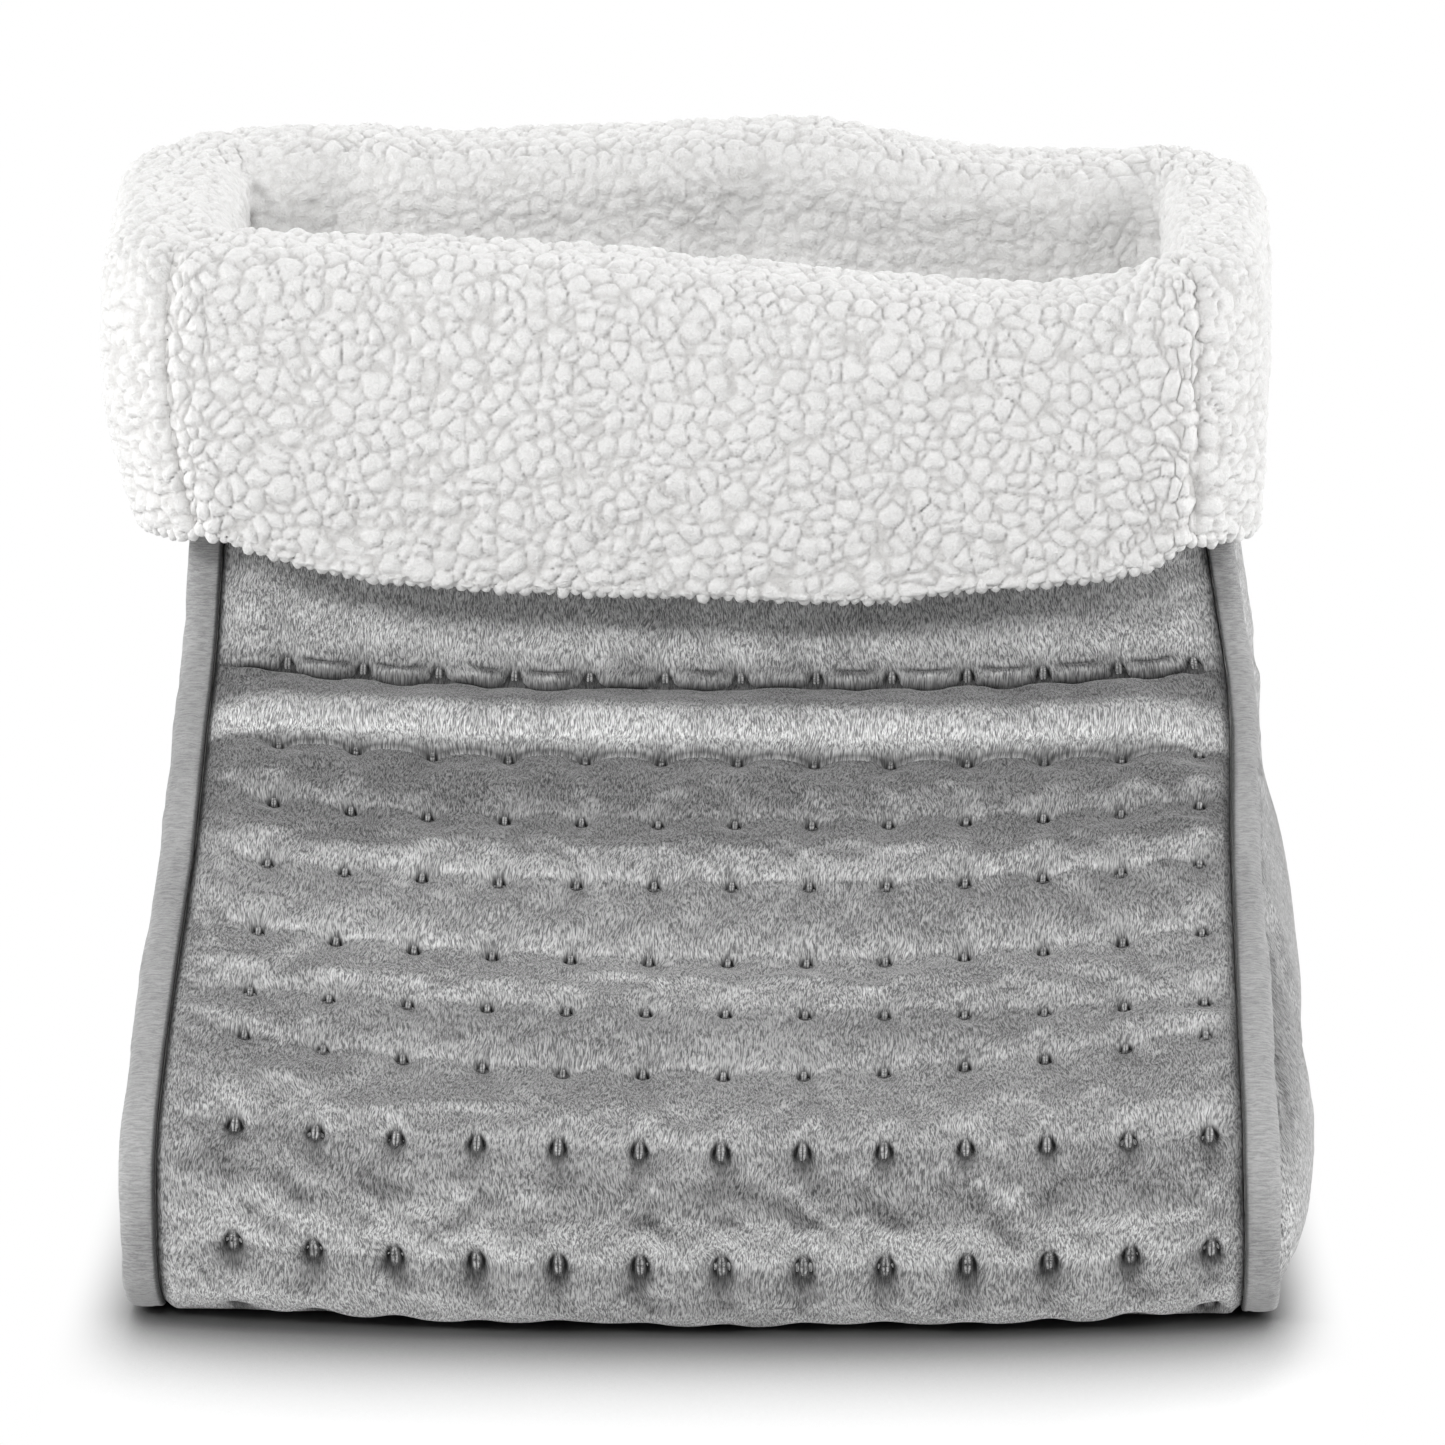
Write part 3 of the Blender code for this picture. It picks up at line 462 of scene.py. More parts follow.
def swollen(points, pinned, grow, cap):
    """How far a sheet moves when it swells between its pins, at most cap at any point."""
    pinned[[0, -1]] = True
    pinned[:, [0, -1]] = True
    faces = quads(*points.shape[:2])
    if (normals_of(points) * (points - heart)).sum() > 0:
        faces = faces[:, ::-1]
    data = bpy.data.meshes.new("swelling_sheet")
    data.from_pydata(points.reshape(-1, 3).tolist(), [], faces.tolist())
    sheet = bpy.data.objects.new("swelling_sheet", data)
    scene = bpy.context.scene
    scene.collection.objects.link(sheet)
    group = sheet.vertex_groups.new(name="pins")
    group.add(np.flatnonzero(pinned.ravel()).tolist(), 1.0, "REPLACE")
    settings = sheet.modifiers.new("swell", "CLOTH").settings
    settings.quality, settings.mass = cloth_quality, cloth_mass
    settings.tension_stiffness = settings.compression_stiffness = cloth_stretch
    settings.bending_stiffness = cloth_bending
    settings.effector_weights.gravity = 0.0
    settings.use_pressure, settings.uniform_pressure_force = True, cloth_pressure
    settings.vertex_group_mass, settings.shrink_min = "pins", -grow
    for frame_number in range(1, cloth_frames + 1):
        scene.frame_set(frame_number)
    made = sheet.evaluated_get(bpy.context.evaluated_depsgraph_get()).to_mesh()
    moved = np.zeros(len(data.vertices) * 3)
    made.vertices.foreach_get("co", moved)
    scene.frame_set(1)
    bpy.data.objects.remove(sheet)
    step = moved.reshape(points.shape) - points
    length = np.linalg.norm(step, axis=-1, keepdims=True)
    return step * np.minimum(1.0, cap / np.maximum(length, 1e-9))


def refined(values, rows, columns):
    """Values of a coarse grid at fractional rows and columns, by smooth cubic steps."""
    for axis, places in ((0, rows), (1, columns)):
        base = np.floor(places).astype(int)
        t = (places - base)[:, None] if axis else (places - base)[:, None, None]
        weights = (-t * (1 - t) ** 2 / 2, 1 + t * t * (3 * t - 5) / 2,
                   t * (1 + t * (4 - 3 * t)) / 2, t * t * (t - 1) / 2)
        last = values.shape[axis] - 1
        values = sum(weight * np.take(values, np.clip(base + k - 1, 0, last), axis)
                     for k, weight in enumerate(weights))
    return values


def sheet_swell(point_at, v, x, stations, grow, cap):
    """Simulates a sewn sheet on a coarse grid and brings its movement to the fine grid."""
    low, high = v[0], v[-1]
    rows = int((high - low) / cloth_step) + 1
    columns = int(2 * strip_half_width / cloth_step) + 1
    vv, xx = np.meshgrid(np.linspace(low, high, rows),
                         np.linspace(-strip_half_width, strip_half_width, columns), indexing="ij")
    pinned = np.zeros(vv.shape, bool)
    for row, column in itertools.product(stations, tack_x):
        pinned |= (abs(vv - row) < 0.6 * cloth_step) & (abs(xx - column) < 0.6 * cloth_step)
    step = swollen(point_at(vv, xx), pinned, grow, cap)
    return refined(step, (v - low) / (high - low) * (rows - 1),
                   (x + strip_half_width) / (2 * strip_half_width) * (columns - 1))


# Quilting
smooth_puff = 2.0 * MM
roll_height = 7.2 * MM
roll_run = 18.0 * MM
roll_crest = 0.68
roll_end = 0.985
roll_fade = 24.0 * MM
overhang = 3.4 * MM
puff_lean = 1.6
channel_puffs = np.array([2.9, 2.9, 2.5, 2.2, 1.8, 2.0, 2.4, 2.4]) * MM
row_ridges = np.array([1.0, 0.6, 1.0, 1.0, 0.9, 0.8, 0.7, 0.7, 0.8, 1.0]) * MM
back_puff = 2.8 * MM
back_ridge = 1.5 * MM
edge_fade = 13.0 * MM
groove_width = 1.5 * MM
groove_depth = 2.2 * MM
dimple_depth = 2.1 * MM
dimple_radius = 2.8 * MM
pit_depth = 1.5 * MM
pit_radii = (1.75 * MM, 2.7 * MM)
pit_line = 0.42
floor_fade = 5.0 * MM


def over_floor(s):
    return smooth(outline.at(s)[0][..., 1] / floor_fade)


def edge_share(x, width=edge_fade):
    return smooth((strip_half_width - abs(x)) / width)


def between_tacks(x):
    """0 at the tacks and 1 halfway between them."""
    return np.sin(np.pi * (x - tack_shift) / tack_pitch) ** 2


def from_tack(x):
    """Distance across the strip from the nearest column of tacks."""
    nearest = np.clip(np.round((x - tack_x[0]) / tack_pitch), 0, len(tack_x) - 1).astype(int)
    return x - tack_x[nearest]


def puffs(v, x, rows, heights, ridges):
    """Height of the quilting: a pillow in each channel, fullest low down, and a ridge at each row."""
    wave = between_tacks(x) ** 0.8
    height = np.zeros(np.broadcast(v, x).shape)
    for i, (v0, v1) in enumerate(zip(rows, rows[1:])):
        share = np.clip((v - v0) / (v1 - v0), 0.0, 1.0)
        dome = np.maximum(np.sin(np.pi * share ** puff_lean), 0.0) ** 0.8
        uneven = 1 + 0.25 * flat_noise(x, v * 0 + i, 24, 1000, 11)
        ridge = (ridges[i] * (1 - share) + ridges[i + 1] * share) * wave
        filled = ridge + (heights[i] * uneven - ridge) * dome
        height = np.where((v >= v0) & (v <= v1), filled, height)
    return height


def roll(v, x):
    """The deep fold between rows A and B: it rises from the crease and rounds over at row B."""
    share = (v - row_a) / (row_b - row_a)
    crest = roll_crest + 0.05 * line_noise(x, 26, 34)
    risen = np.clip(crease_lines(v, x)[0] / roll_run, 0, 1)
    rise = (risen + np.sin(np.pi / 2 * risen)) / 2
    fall = np.sqrt(1 - np.clip((share - crest) / (roll_end - crest), 0, 1) ** 2)
    full = roll_height * (1 + 0.12 * line_noise(x, 38, 33)) * rise * fall
    return np.where((share > 0) & (share < 1), full, 0.0) * edge_share(x, roll_fade)


def roll_overhang(v, x):
    """The roll's lower edge hangs over the crease at row B."""
    share = (v - row_a) / (row_b - row_a)
    return overhang * bell(share - 0.84, 0.12) * edge_share(x, roll_fade)


def crease_lines(v, x):
    """Distance below the wavy crease of row A, and the size of the tuck above it at each x."""
    wander, wave = line_noise(x, 14, 31), between_tacks(x)
    below = v - row_a - (1.6 + (1.9 + 1.5 * wander) * wave ** 0.7) * MM
    return below, wave ** 1.5 * np.clip(0.65 + 1.1 * wander, 0.0, 1.3)


def tucks_below_a(v, x):
    """Small lens-shaped tucks between the tacks of row A, and the wavy crease below them."""
    below, tuck = crease_lines(v, x)
    lens = 1.9 * tuck * np.exp(-((below + 2.6 * MM) / (1.5 * MM)) ** 4)
    upper = -1.0 * tuck * bell(below + 4.5 * MM, 1.0 * MM)
    return (lens + upper - 2.8 * bell(below, 1.25 * MM)) * MM * edge_share(x, 8 * MM)


def fold_shadows(v, x):
    """Where folds close on themselves: around the tucks of row A and under the roll."""
    below, tuck = crease_lines(v, x)
    fading = 0.5 * np.exp(-np.maximum(below, 0) / (2.2 * MM)) * (below > 0)
    lens = 0.7 * np.clip(tuck, 0, 1) * bell(below + 4.5 * MM, 1.0 * MM)
    under = 0.65 * bell(v - row_b + 0.4 * MM, 0.6 * MM)
    dark = functools.reduce(np.maximum, (bell(below, 1.4 * MM), fading, lens, under))
    return dark * 0.85 * edge_share(x, 10 * MM)


def tack_size(row):
    """Width and length of a row's tacks: on the sloping instep the cloth closes round them."""
    if row == row_b:
        return 0.66, 0.42
    if bend_end < row < toe_top_start:
        return 0.70, 0.52
    return (0.9, 0.8) if row == row_a else (1.0, 1.0)


def dimples(v, x, rows):
    """Depth of the hollows at the tacks, and the narrow ring round each tack's threads."""
    across = from_tack(x)
    hollow = np.zeros(np.broadcast(v, x).shape)
    pit = hollow.copy()
    for row in rows:
        along = v - row
        hollow += np.exp(-(across ** 2 + (along * 0.85) ** 2) / (2 * dimple_radius ** 2))
        wide, long = (radius * size for radius, size in zip(pit_radii, tack_size(row)))
        wide = wide * (1 + 0.3 * np.clip(along / long, -1, 1))
        ring = np.sqrt((across / wide) ** 2 + (along / long) ** 2)
        beside = (across / wide) ** 2 / np.maximum(ring, 0.01) ** 2
        below = 0.5 * smooth(along / long + 0.5)
        pit += bell(ring - 1, pit_line) * np.maximum(0.2 + 0.8 * beside, below)
    return hollow, pit


def shades(v, x, rows):
    """Painted shade: a soft dark patch below each tack, added to the painted shade of the hollows."""
    across = from_tack(x)
    dark = np.zeros(np.broadcast(v, x).shape)
    for row in rows:
        wide, long = tack_size(row)
        dark += long * bell(across, 2.6 * MM * wide) * bell(v - row - 4.2 * MM * long, 3.2 * MM * long)
    return dark


def wrinkles(v, x):
    """Soft creases across the channels, stronger beside the sewn edges."""
    bend = flat_noise(x, v, 30, 22, 21) * 6 * MM
    fine = flat_noise(x + bend, v - bend, 19, 6.5, 22)
    wide = flat_noise(x, v, 34, 18, 23)
    pucker = np.sin(2 * np.pi * v / (8.5 * MM) + 5 * flat_noise(x, v, 40, 30, 24))
    beside = bell(strip_half_width - abs(x) - 5 * MM, 5 * MM)
    return (0.35 * fine + 0.5 * wide + 0.5 * pucker * beside) * MM


def seam_groove(x):
    return -groove_depth * bell(strip_half_width - abs(x), groove_width)


def front_height(v, x, pits=True):
    height = puffs(v, x, [rim_s] + row_stations, [smooth_puff, 0.0, *channel_puffs],
                   [0.0, *row_ridges]) + wrinkles(v, x)
    height = height * edge_share(x) + roll(v, x) + tucks_below_a(v, x)
    hollow, pit = dimples(v, x, row_stations)
    height = height - dimple_depth * hollow - (pit_depth * pit if pits else 0.0)
    return height * over_floor(v + row_shift(v, x)) + seam_groove(x)


def front_point(v, x, lift=0.0, pits=True):
    s = v + row_shift(v, x) + roll_overhang(v, x)
    return fitted(strip(x, s, -(front_height(v, x, pits) + lift)))


# Painted light and shade on the pile: what looks up more than the plain wall is painted darker and what
# looks down lighter, standing for light from the front and for the pile lying downward
facing_shade_middle = 0.46
facing_shade_gain = 1.15
# Painted light and shade for each channel, partly for the pile stroked up or down: lighter under the
# hem, on the roll's lower half and low on the toe, darker on the roll's top and down the instep below
# it
pile_and_painted_shade_rows = ((-1, 0.16), (-0.06, 0.12), (0.08, -0.52), (0.46, -0.46), (0.66, 0.16),
                (0.93, 0.26), (0.99, 0.0), (1.02, -0.72), (2, -0.54), (3, -0.24), (4, -0.16),
                (5, -0.22), (6, -0.22), (7, -0.17), (8, 0.06), (9, 0.60))


def facing_shade(points, plain, tone=0.0):
    """Painted light and shade: how light the pile is painted by the way it faces, against the same wall
    without its quilting.
    """
    up, plain_up = (turned(normals_of(grid), grid - heart)[..., 2] for grid in (points, plain))
    return np.clip(facing_shade_middle + facing_shade_gain * (plain_up - up) + tone, 0, 1)


def pile_and_painted_shade(v, x):
    """Painted light and shade for each channel, partly for the pile stroked up or down: darkest on the
    roll's top and on the instep just below the roll.
    """
    stations = [rim_s] + row_stations
    places = np.interp([row + 1 for row, tone in pile_and_painted_shade_rows], np.arange(len(stations)), stations)
    tones = np.interp(v, places, [tone for row, tone in pile_and_painted_shade_rows])
    return tones * (1 + 0.3 * flat_noise(x, v, 60, 20, 35))


def looks_of(points, plain, x, hollow, pit, tone=0.0):
    """The values that the plush material reads at each point."""
    along = points[..., 2] - points[..., 1]
    # Painted shade in the seam groove along each sewn edge, of ragged width, joined with the painted
    # shade of the pits and folds
    ragged = 1 + 0.55 * flat_noise(x, along, 50, 3, 36) + 0.4 * flat_noise(x, along, 50, 9, 37)
    groove = 0.8 * bell(strip_half_width - abs(x), 0.95 * MM * ragged)
    return {"pit": np.clip(np.maximum(pit, groove), 0, 1), "hollow": np.clip(hollow, 0, 1),
            "facing_shade": facing_shade(points, plain, tone)}


# Grids of the outer strip's pieces, with the inlet's opening
tack_steps_x = np.array([0.0, 0.5, 0.95, 1.4, 1.85, 2.5, 3.4, 4.6]) * MM
tack_steps_s = np.array([0.0, 0.65, 1.2, 1.7, 2.2, 2.8, 3.6, 4.8]) * MM
back_steps_x = np.array([0.0, 0.85, 1.55, 2.6, 4.6]) * MM
back_steps_s = np.array([0.0, 1.1, 1.9, 2.8, 4.8]) * MM
coarse_step = 1.5 * MM
back_coarse_step = 1.8 * MM
inlet_station = heel_end + inlet_height - heel_radius
inlet_clear = 30.0 * MM


def spaced(values, edges):
    """Grid values with the edges of the inlet's opening among them."""
    kept = [value for value in values if min(abs(value - edge) for edge in edges) > 0.5 * MM]
    return np.array(sorted(kept + edges))


def picks(values, step, edges=()):
    """Every step-th place of a grid, its last one and those of the edges."""
    ends = {len(values) - 1} | {int(np.argmin(abs(values - edge))) for edge in edges}
    return sorted(set(range(0, len(values), step)) | ends)


def strip_grid(x, v, step, room=None):
    """A grid of the strip, its places kept inside, and those of the inlet's opening if it has one."""
    edges_x, edges_v, hole = [], [], None
    if room is not None:
        wide, high = inlet_hole[0] / 2 + room, inlet_hole[1] / 2 + room
        edges_x = [inlet_x - wide, inlet_x + wide]
        edges_v = [inlet_station - high, inlet_station + high]
        x, v = spaced(x, edges_x), spaced(v, edges_v)
        hole = [int(np.argmin(abs(values - edge)))
                for values, edges in ((v, edges_v), (x, edges_x)) for edge in edges]
    vv, xx = np.meshgrid(v, x, indexing="ij")
    return vv, xx, picks(v, step, edges_v), picks(x, step, edges_x), hole


def plush_sheet(name, node, grid, outer, plain_v, hollow, pit, tone=0.0):
    """A plush piece of the strip over its plain inner face."""
    vv, xx, rows, cols, hole = grid
    values = looks_of(outer, fitted(strip(xx, plain_v)), xx, hollow, pit, tone)
    slab(name, "plush", node, plush(), outer, fitted(strip(xx, vv, panel_thickness)), rows, cols,
         np.stack([xx, vv], -1), values, hole)


# Front, back and sole
front_growth = 0.012
front_cap = 3.0 * MM
back_growth = 0.012
back_cap = 3.5 * MM
sole_columns, sole_rows = 135, 123


def front_piece():
    grid = strip_grid(graded(tack_x, -strip_half_width, strip_half_width, tack_steps_x, coarse_step),
                      graded(row_stations, rim_s, front_end, tack_steps_s, coarse_step), 6)
    vv, xx = grid[:2]
    hollow, pit = dimples(vv, xx, row_stations)
    below_roll = 0.25 + 0.75 * smooth((vv - row_b) / (8 * MM))
    share = np.clip(1 - hollow, 0, 1) * edge_share(xx, 6 * MM) * below_roll * over_floor(vv)
    swell = sheet_swell(front_point, vv[:, 0], xx[0], row_stations, front_growth, front_cap)
    outer = front_point(vv, xx) + swell * share[..., None]
    plush_sheet("plush_front", "front_panel", grid, outer, vv + row_shift(vv, xx),
                np.maximum(hollow, shades(vv, xx, row_stations)),
                np.maximum(pit, fold_shadows(vv, xx)), pile_and_painted_shade(vv, xx))
    tacks("quilt_tacks_front", front_point, itertools.product(row_stations[:-1], tack_x))


def near_inlet(v, x):
    """0 on the inlet's flange and 1 well away from it."""
    wide = abs(x - inlet_x) - inlet_flange[0] / 2
    high = abs(outline.at(v)[0][..., 1] - inlet_height) - inlet_flange[1] / 2
    return smooth(np.maximum(wide, high) / (8 * MM))


def back_height(v, x, pits=True):
    rows = [r for r in back_stations if r > heel_start]
    knots = [heel_start] + rows + [back_rim_s]
    height = puffs(v, x, knots, [back_puff] * (len(knots) - 1), [back_ridge] * len(knots))
    height = (height + wrinkles(v, x)) * edge_share(x)
    hollow, pit = dimples(v, x, rows)
    height = height - dimple_depth * hollow - (pit_depth * pit if pits else 0.0)
    return height * over_floor(v) * near_inlet(v, x) + seam_groove(x)


def back_point(v, x, lift=0.0, pits=True):
    return fitted(strip(x, v, -(back_height(v, x, pits) + lift)))


def back_piece():
    grid = strip_grid(
        graded(tack_x, -strip_half_width, strip_half_width, back_steps_x, back_coarse_step),
        graded(back_stations, heel_start, back_rim_s, back_steps_s, back_coarse_step), 4, 0.0)
    vv, xx = grid[:2]
    hollow, pit = dimples(vv, xx, back_stations)
    clear = near_inlet(vv, xx)
    share = np.clip(1 - hollow, 0, 1) * edge_share(xx, 6 * MM) * over_floor(vv) * clear
    swell = sheet_swell(back_point, vv[:, 0], xx[0], back_stations, back_growth, back_cap)
    outer = back_point(vv, xx) + swell * share[..., None]
    plush_sheet("plush_back", "back_panel", grid, outer, vv, hollow * clear, pit * clear)
    rows = [r for r in back_stations if r > heel_end]
    near = abs(tack_x - inlet_x) <= inlet_clear
    beyond = [r for r in rows if abs(r - inlet_station) > inlet_clear]
    tacks("quilt_tacks_back", back_point, itertools.chain(
        itertools.product(rows, tack_x[~near]), itertools.product(beyond, tack_x[near])))


def sole_piece():
    grid = strip_grid(np.linspace(-strip_half_width, strip_half_width, sole_columns),
                      np.linspace(front_end + piece_gap, heel_start - piece_gap, sole_rows), 8)
    vv, xx = grid[:2]
    dips = 0.5 * MM * np.clip(flat_noise(xx, vv, 24, 24, 41), 0, 1)
    outer = fitted(strip(xx, vv, dips * edge_share(xx)))
    plush_sheet("plush_sole", "sole_panel", grid, outer, vv, 0 * xx, 0 * xx)


# Sewn tacks: two threads side by side in each dimple
strand_radius = 0.38 * MM
strand_half_length = 2.1 * MM
strand_offset = 0.42 * MM
strand_lift = 0.35 * MM
strand_rings = 8
strand_sides = 6


def tacks(name, point_at, places):
    """Small arched tubes, two for each tack, at pairs of station and column."""
    points = []
    for row, column in places:
        wide, long = tack_size(row)
        for side in (-1, 1):
            along = np.linspace(-1.0, 1.0, strand_rings)
            bulge = strand_offset * wide * side * (0.7 + 0.5 * np.cos(np.pi * along / 2))
            arch = strand_lift * (1 - along ** 4) - strand_radius * along ** 4
            path = point_at(row + along * strand_half_length * long, column + bulge, arch, False)
            points.append(tube_points(path, strand_radius * (0.4 + 0.6 * wide), strand_sides))
    piece = mesh_piece(name, np.concatenate(points),
                       tube_faces(len(points), strand_rings, strand_sides), thread())
    dress(piece, "plush", fill=0)


def tube_faces(count, rings, sides):
    """The faces of a number of closed tubes, sides first and then both ends."""
    size = rings * sides
    bases = np.arange(count)[:, None] * size
    around = np.concatenate([quads(rings, sides, base, wrap=True) for base in bases[:, 0]])
    ends = np.concatenate([bases + np.arange(sides)[::-1], bases + size - sides + np.arange(sides)])
    return [around, ends]


def tube_points(path, radius, sides):
    along = np.gradient(path, axis=0)
    along /= np.linalg.norm(along, axis=1)[:, None]
    across = np.cross(along, [0.0, -0.35, 1.0])
    flat = np.linalg.norm(across, axis=1)[:, None]
    across = np.where(flat > 0.05, across / np.maximum(flat, 0.05), [1.0, 0.0, 0.0])
    up = np.cross(along, across)
    angle = np.linspace(0, 2 * np.pi, sides, endpoint=False)
    spoke = across[:, None] * np.cos(angle)[None, :, None] + up[:, None] * np.sin(angle)[None, :, None]
    taper = np.sin(np.linspace(0.12, np.pi - 0.12, len(path))) ** 0.35
    return (path[:, None] + spoke * radius * taper[:, None, None]).reshape(-1, 3)


# Side walls
rung_counts = (4, 4, 4, 3)
rung_blend = np.linspace(-1.6, 1.6, 9)
flat_heights = (62.0 * MM, 125.0 * MM)
flat_share = 0.8
# Painted light: the side walls' painted facing shade is lifted by the first value and held under the
# second
side_painted_lift = 0.3
side_lightest = 0.74
side_growth = 0.006
side_cap = 3.0 * MM
side_grid_size = (210, 130)
side_cloth_size = (70, 44)
side_signs = {"left": -1, "right": 1}


def rung_line(stations):
    """Distances along the outline at the rungs that join its front line to its back line."""
    line = []
    for a, b, steps in zip(stations, stations[1:], rung_counts):
        line += [a + (b - a) * i / steps for i in range(steps)]
    return line + [stations[-1]]


front_line = rung_line([rim_s, bend_start, bend_end, toe_top_start, toe_top_end])
back_line = rung_line([back_rim_s, heel_end, heel_start, toe_low_end, toe_low_start])


def blended(rung, line):
    """Stations at fractional rungs, without kinks where the rungs' spacing changes."""
    last, found = len(line) - 1, 0.0
    for step in rung_blend:
        at = rung + step
        before, after = np.minimum(at, 0), np.maximum(at - last, 0)
        found = found + np.interp(at, np.arange(last + 1), line) + before * (line[1] - line[0]) + (
            after * (line[-1] - line[-2]))
    return found / len(rung_blend)


def side_points(rung, across, inset, drop=0.0):
    """Points of a side layer in the middle plane: rung counts down the shaft and out to the toe."""
    ends = []
    for line, way in ((front_line, 1), (back_line, -1)):
        place, normal = outline.at(blended(rung, [line[0] + way * drop] + line[1:]))
        ends.append(place - normal * inset)
    spot = ends[0] + (ends[1] - ends[0]) * across[..., None]
    return np.concatenate([0 * across[..., None], spot], -1)


def at_x(points, x):
    return np.concatenate([(x + 0 * points[..., 0])[..., None], points[..., 1:]], -1)


def side_fullness(side, rung, across, z):
    """How far a side wall stands out: the stuffing has sunk, so it is flat above the instep."""
    along = rung / (len(front_line) - 1)
    toe = smooth((1 - along) / bulge_toe_share)
    rim = bulge_rim_share + (1 - bulge_rim_share) * smooth(along / bulge_rise_share)
    full = np.maximum(np.sin(np.pi * across), 0.0) ** bulge_roundness * toe * rim
    return side_bulge[side] * full * (1 - flat_share * ramp(z, *flat_heights))


def side_grid(rows, columns):
    rung = np.linspace(0, len(front_line) - 1, rows)
    across = (1 - np.cos(np.linspace(0, np.pi, columns))) / 2
    across = 0.5 * across + 0.5 * np.linspace(0, 1, columns)
    return np.meshgrid(rung, across, indexing="ij")


def side_swell(side):
    """The simulated swelling of a side wall that is sewn all round, on its fine grid."""
    rung, across = side_grid(*side_cloth_size)
    sheet = side_points(rung, across, side_inset)
    sheet = at_x(sheet, side_signs[side] * (
        side_panel_far + side_fullness(side, rung, across, sheet[..., 2])))
    step = swollen(sheet, np.zeros(rung.shape, bool), side_growth, side_cap)
    return refined(step, *(np.linspace(0, coarse - 1, fine)
                           for coarse, fine in zip(side_cloth_size, side_grid_size)))


def side_piece(side):
    sign = side_signs[side]
    rung, across = side_grid(*side_grid_size)
    flat = side_points(rung, across, side_inset)
    y, z = flat[..., 1], flat[..., 2]
    swell = side_fullness(side, rung, across, z)
    edge = np.minimum(across, 1 - across) * 2
    pucker = np.sin(2 * np.pi * (y + z) / (9 * MM) + 4 * flat_noise(y, z, 40, 30, 51))
    soft = 1.2 * flat_noise(y, z, 38, 30, 52) + 0.3 * flat_noise(y, z, 13, 11, 53)
    height = soft * smooth(edge * 4) + 0.5 * pucker * bell(edge - 0.07, 0.07) - 1.2 * bell(edge, 0.02)
    outer = at_x(flat, sign * (side_panel_far + swell + height * MM))
    outer = outer + side_swell(side) * smooth(edge * 6)[..., None]
    # Painted light and shade: the facing shade lifted on the side walls, and the pile darkened along
    # the sewn edge all round
    tone = facing_shade(outer, flat + (sign * side_panel_far, 0, 0), side_painted_lift)
    slab(f"plush_side_{side}", "plush", f"side_panel_{side}", plush(), fitted(outer),
         fitted(at_x(flat, sign * (side_panel_near + swell))), picks(rung[:, 0], 6),
         picks(across[0], 6), flat[..., 1:],
         {"pit": 0.75 * bell(edge, 0.02), "hollow": 0 * y, "facing_shade": np.minimum(tone, side_lightest)})


# Edge binding
binding_taper = {"left": 0.0, "right": 0.2}
taper_heights = (60.0 * MM, 120.0 * MM)
binding_stations = 700
band_shape = np.array([
    (0.0, 0.32), (0.03, 0.12), (0.1, 0.02), (0.22, 0.03), (0.36, 0.0), (0.5, 0.0), (0.64, 0.01),
    (0.76, 0.06), (0.86, 0.14), (0.94, 0.27), (0.99, 0.42), (1.0, 0.55), (0.98, 0.72), (0.9, 0.88),
    (0.76, 0.97), (0.5, 1.0), (0.2, 1.0), (0.0, 1.0), (0.0, 0.66)])


def binding_piece(side):
    """A band whose cross-section is given in shares of its width and thickness, outer face first."""
    s = np.linspace(rim_s, back_rim_s, binding_stations)
    place, normal = outline.at(s)
    lift = smooth(place[:, 1] / (14 * MM))
    top = (-binding_proud * lift + binding_floor_lift * (1 - lift))[:, None]
    near, far = strip_half_width + piece_gap, strip_half_width + binding_width
    high = ramp(place[:, 1], *taper_heights)
    wander = line_noise(s, 17, 62) + 0.6 * line_noise(s, 5, 63)
    wide = (far - near) * (1 - binding_taper[side] * high) + 0.35 * MM * wander
    x = near + wide[:, None] * band_shape[:, 0]
    depth = top + (binding_thickness - binding_proud - top) * band_shape[:, 1]
    ss, xx = np.broadcast_arrays(s[:, None], x)
    face = bell(band_shape[:, 1], 0.35)
    depth = depth - face * 0.25 * MM * flat_noise(xx, ss, 3, 1.4, 61) * lift[:, None]
    stitch = bell(band_shape[:, 0] - 0.2, 0.09) * face
    depth = depth + stitch * 0.35 * MM * (0.6 + 0.4 * np.cos(2 * np.pi * ss / (3.4 * MM)))
    spot = place[:, None] - normal[:, None] * depth[..., None]
    points = np.concatenate([(side_signs[side] * xx)[..., None], spot], -1)
    around = np.broadcast_to(np.arange(len(band_shape)) * 0.9 * MM, xx.shape)
    # The groove value marks where the band meets the panel, for painted shade in the seam
    piece = mesh_piece(f"edge_binding_{side}", fitted(points).reshape(-1, 3),
                       ring_faces(len(s), len(band_shape)), binding_cloth(),
                       np.stack([around, ss], -1).reshape(-1, 2), {"groove": bell(xx - near, 0.6 * MM)})
    dress(piece, "binding", f"binding_{side}", fill=0.8)


# Turned-down cuff: the rim's rise and the hem's height at places across, as the photo shows them
crest_view = 2.3 * MM
rim_front_moves = np.array([
    (-165, 6), (-140, 6.5), (-121, 6), (-104, 5), (-66, 4), (-44, 3), (-21, 1.5), (-4, -1),
    (15, -2.5), (36, -4.5), (56, -6), (67, -7), (81, -7.5), (94, -7), (108, -4.5), (119, -1.5),
    (140, 1.5), (165, 2)]) * MM - (0.0, crest_view)
rim_back_moves = np.array([
    (-180, -6), (-163, -7), (-145, -5), (-136, -3.5), (-120, -2), (-103, -1.5), (-77, -3), (-58, -2),
    (-21, -1), (-9, 0), (11, 1), (25, 1), (45, -2), (67, -6.5), (86, -8), (115, -8), (126, -7),
    (145, -8), (165, -9)]) * MM - (0.0, crest_view)
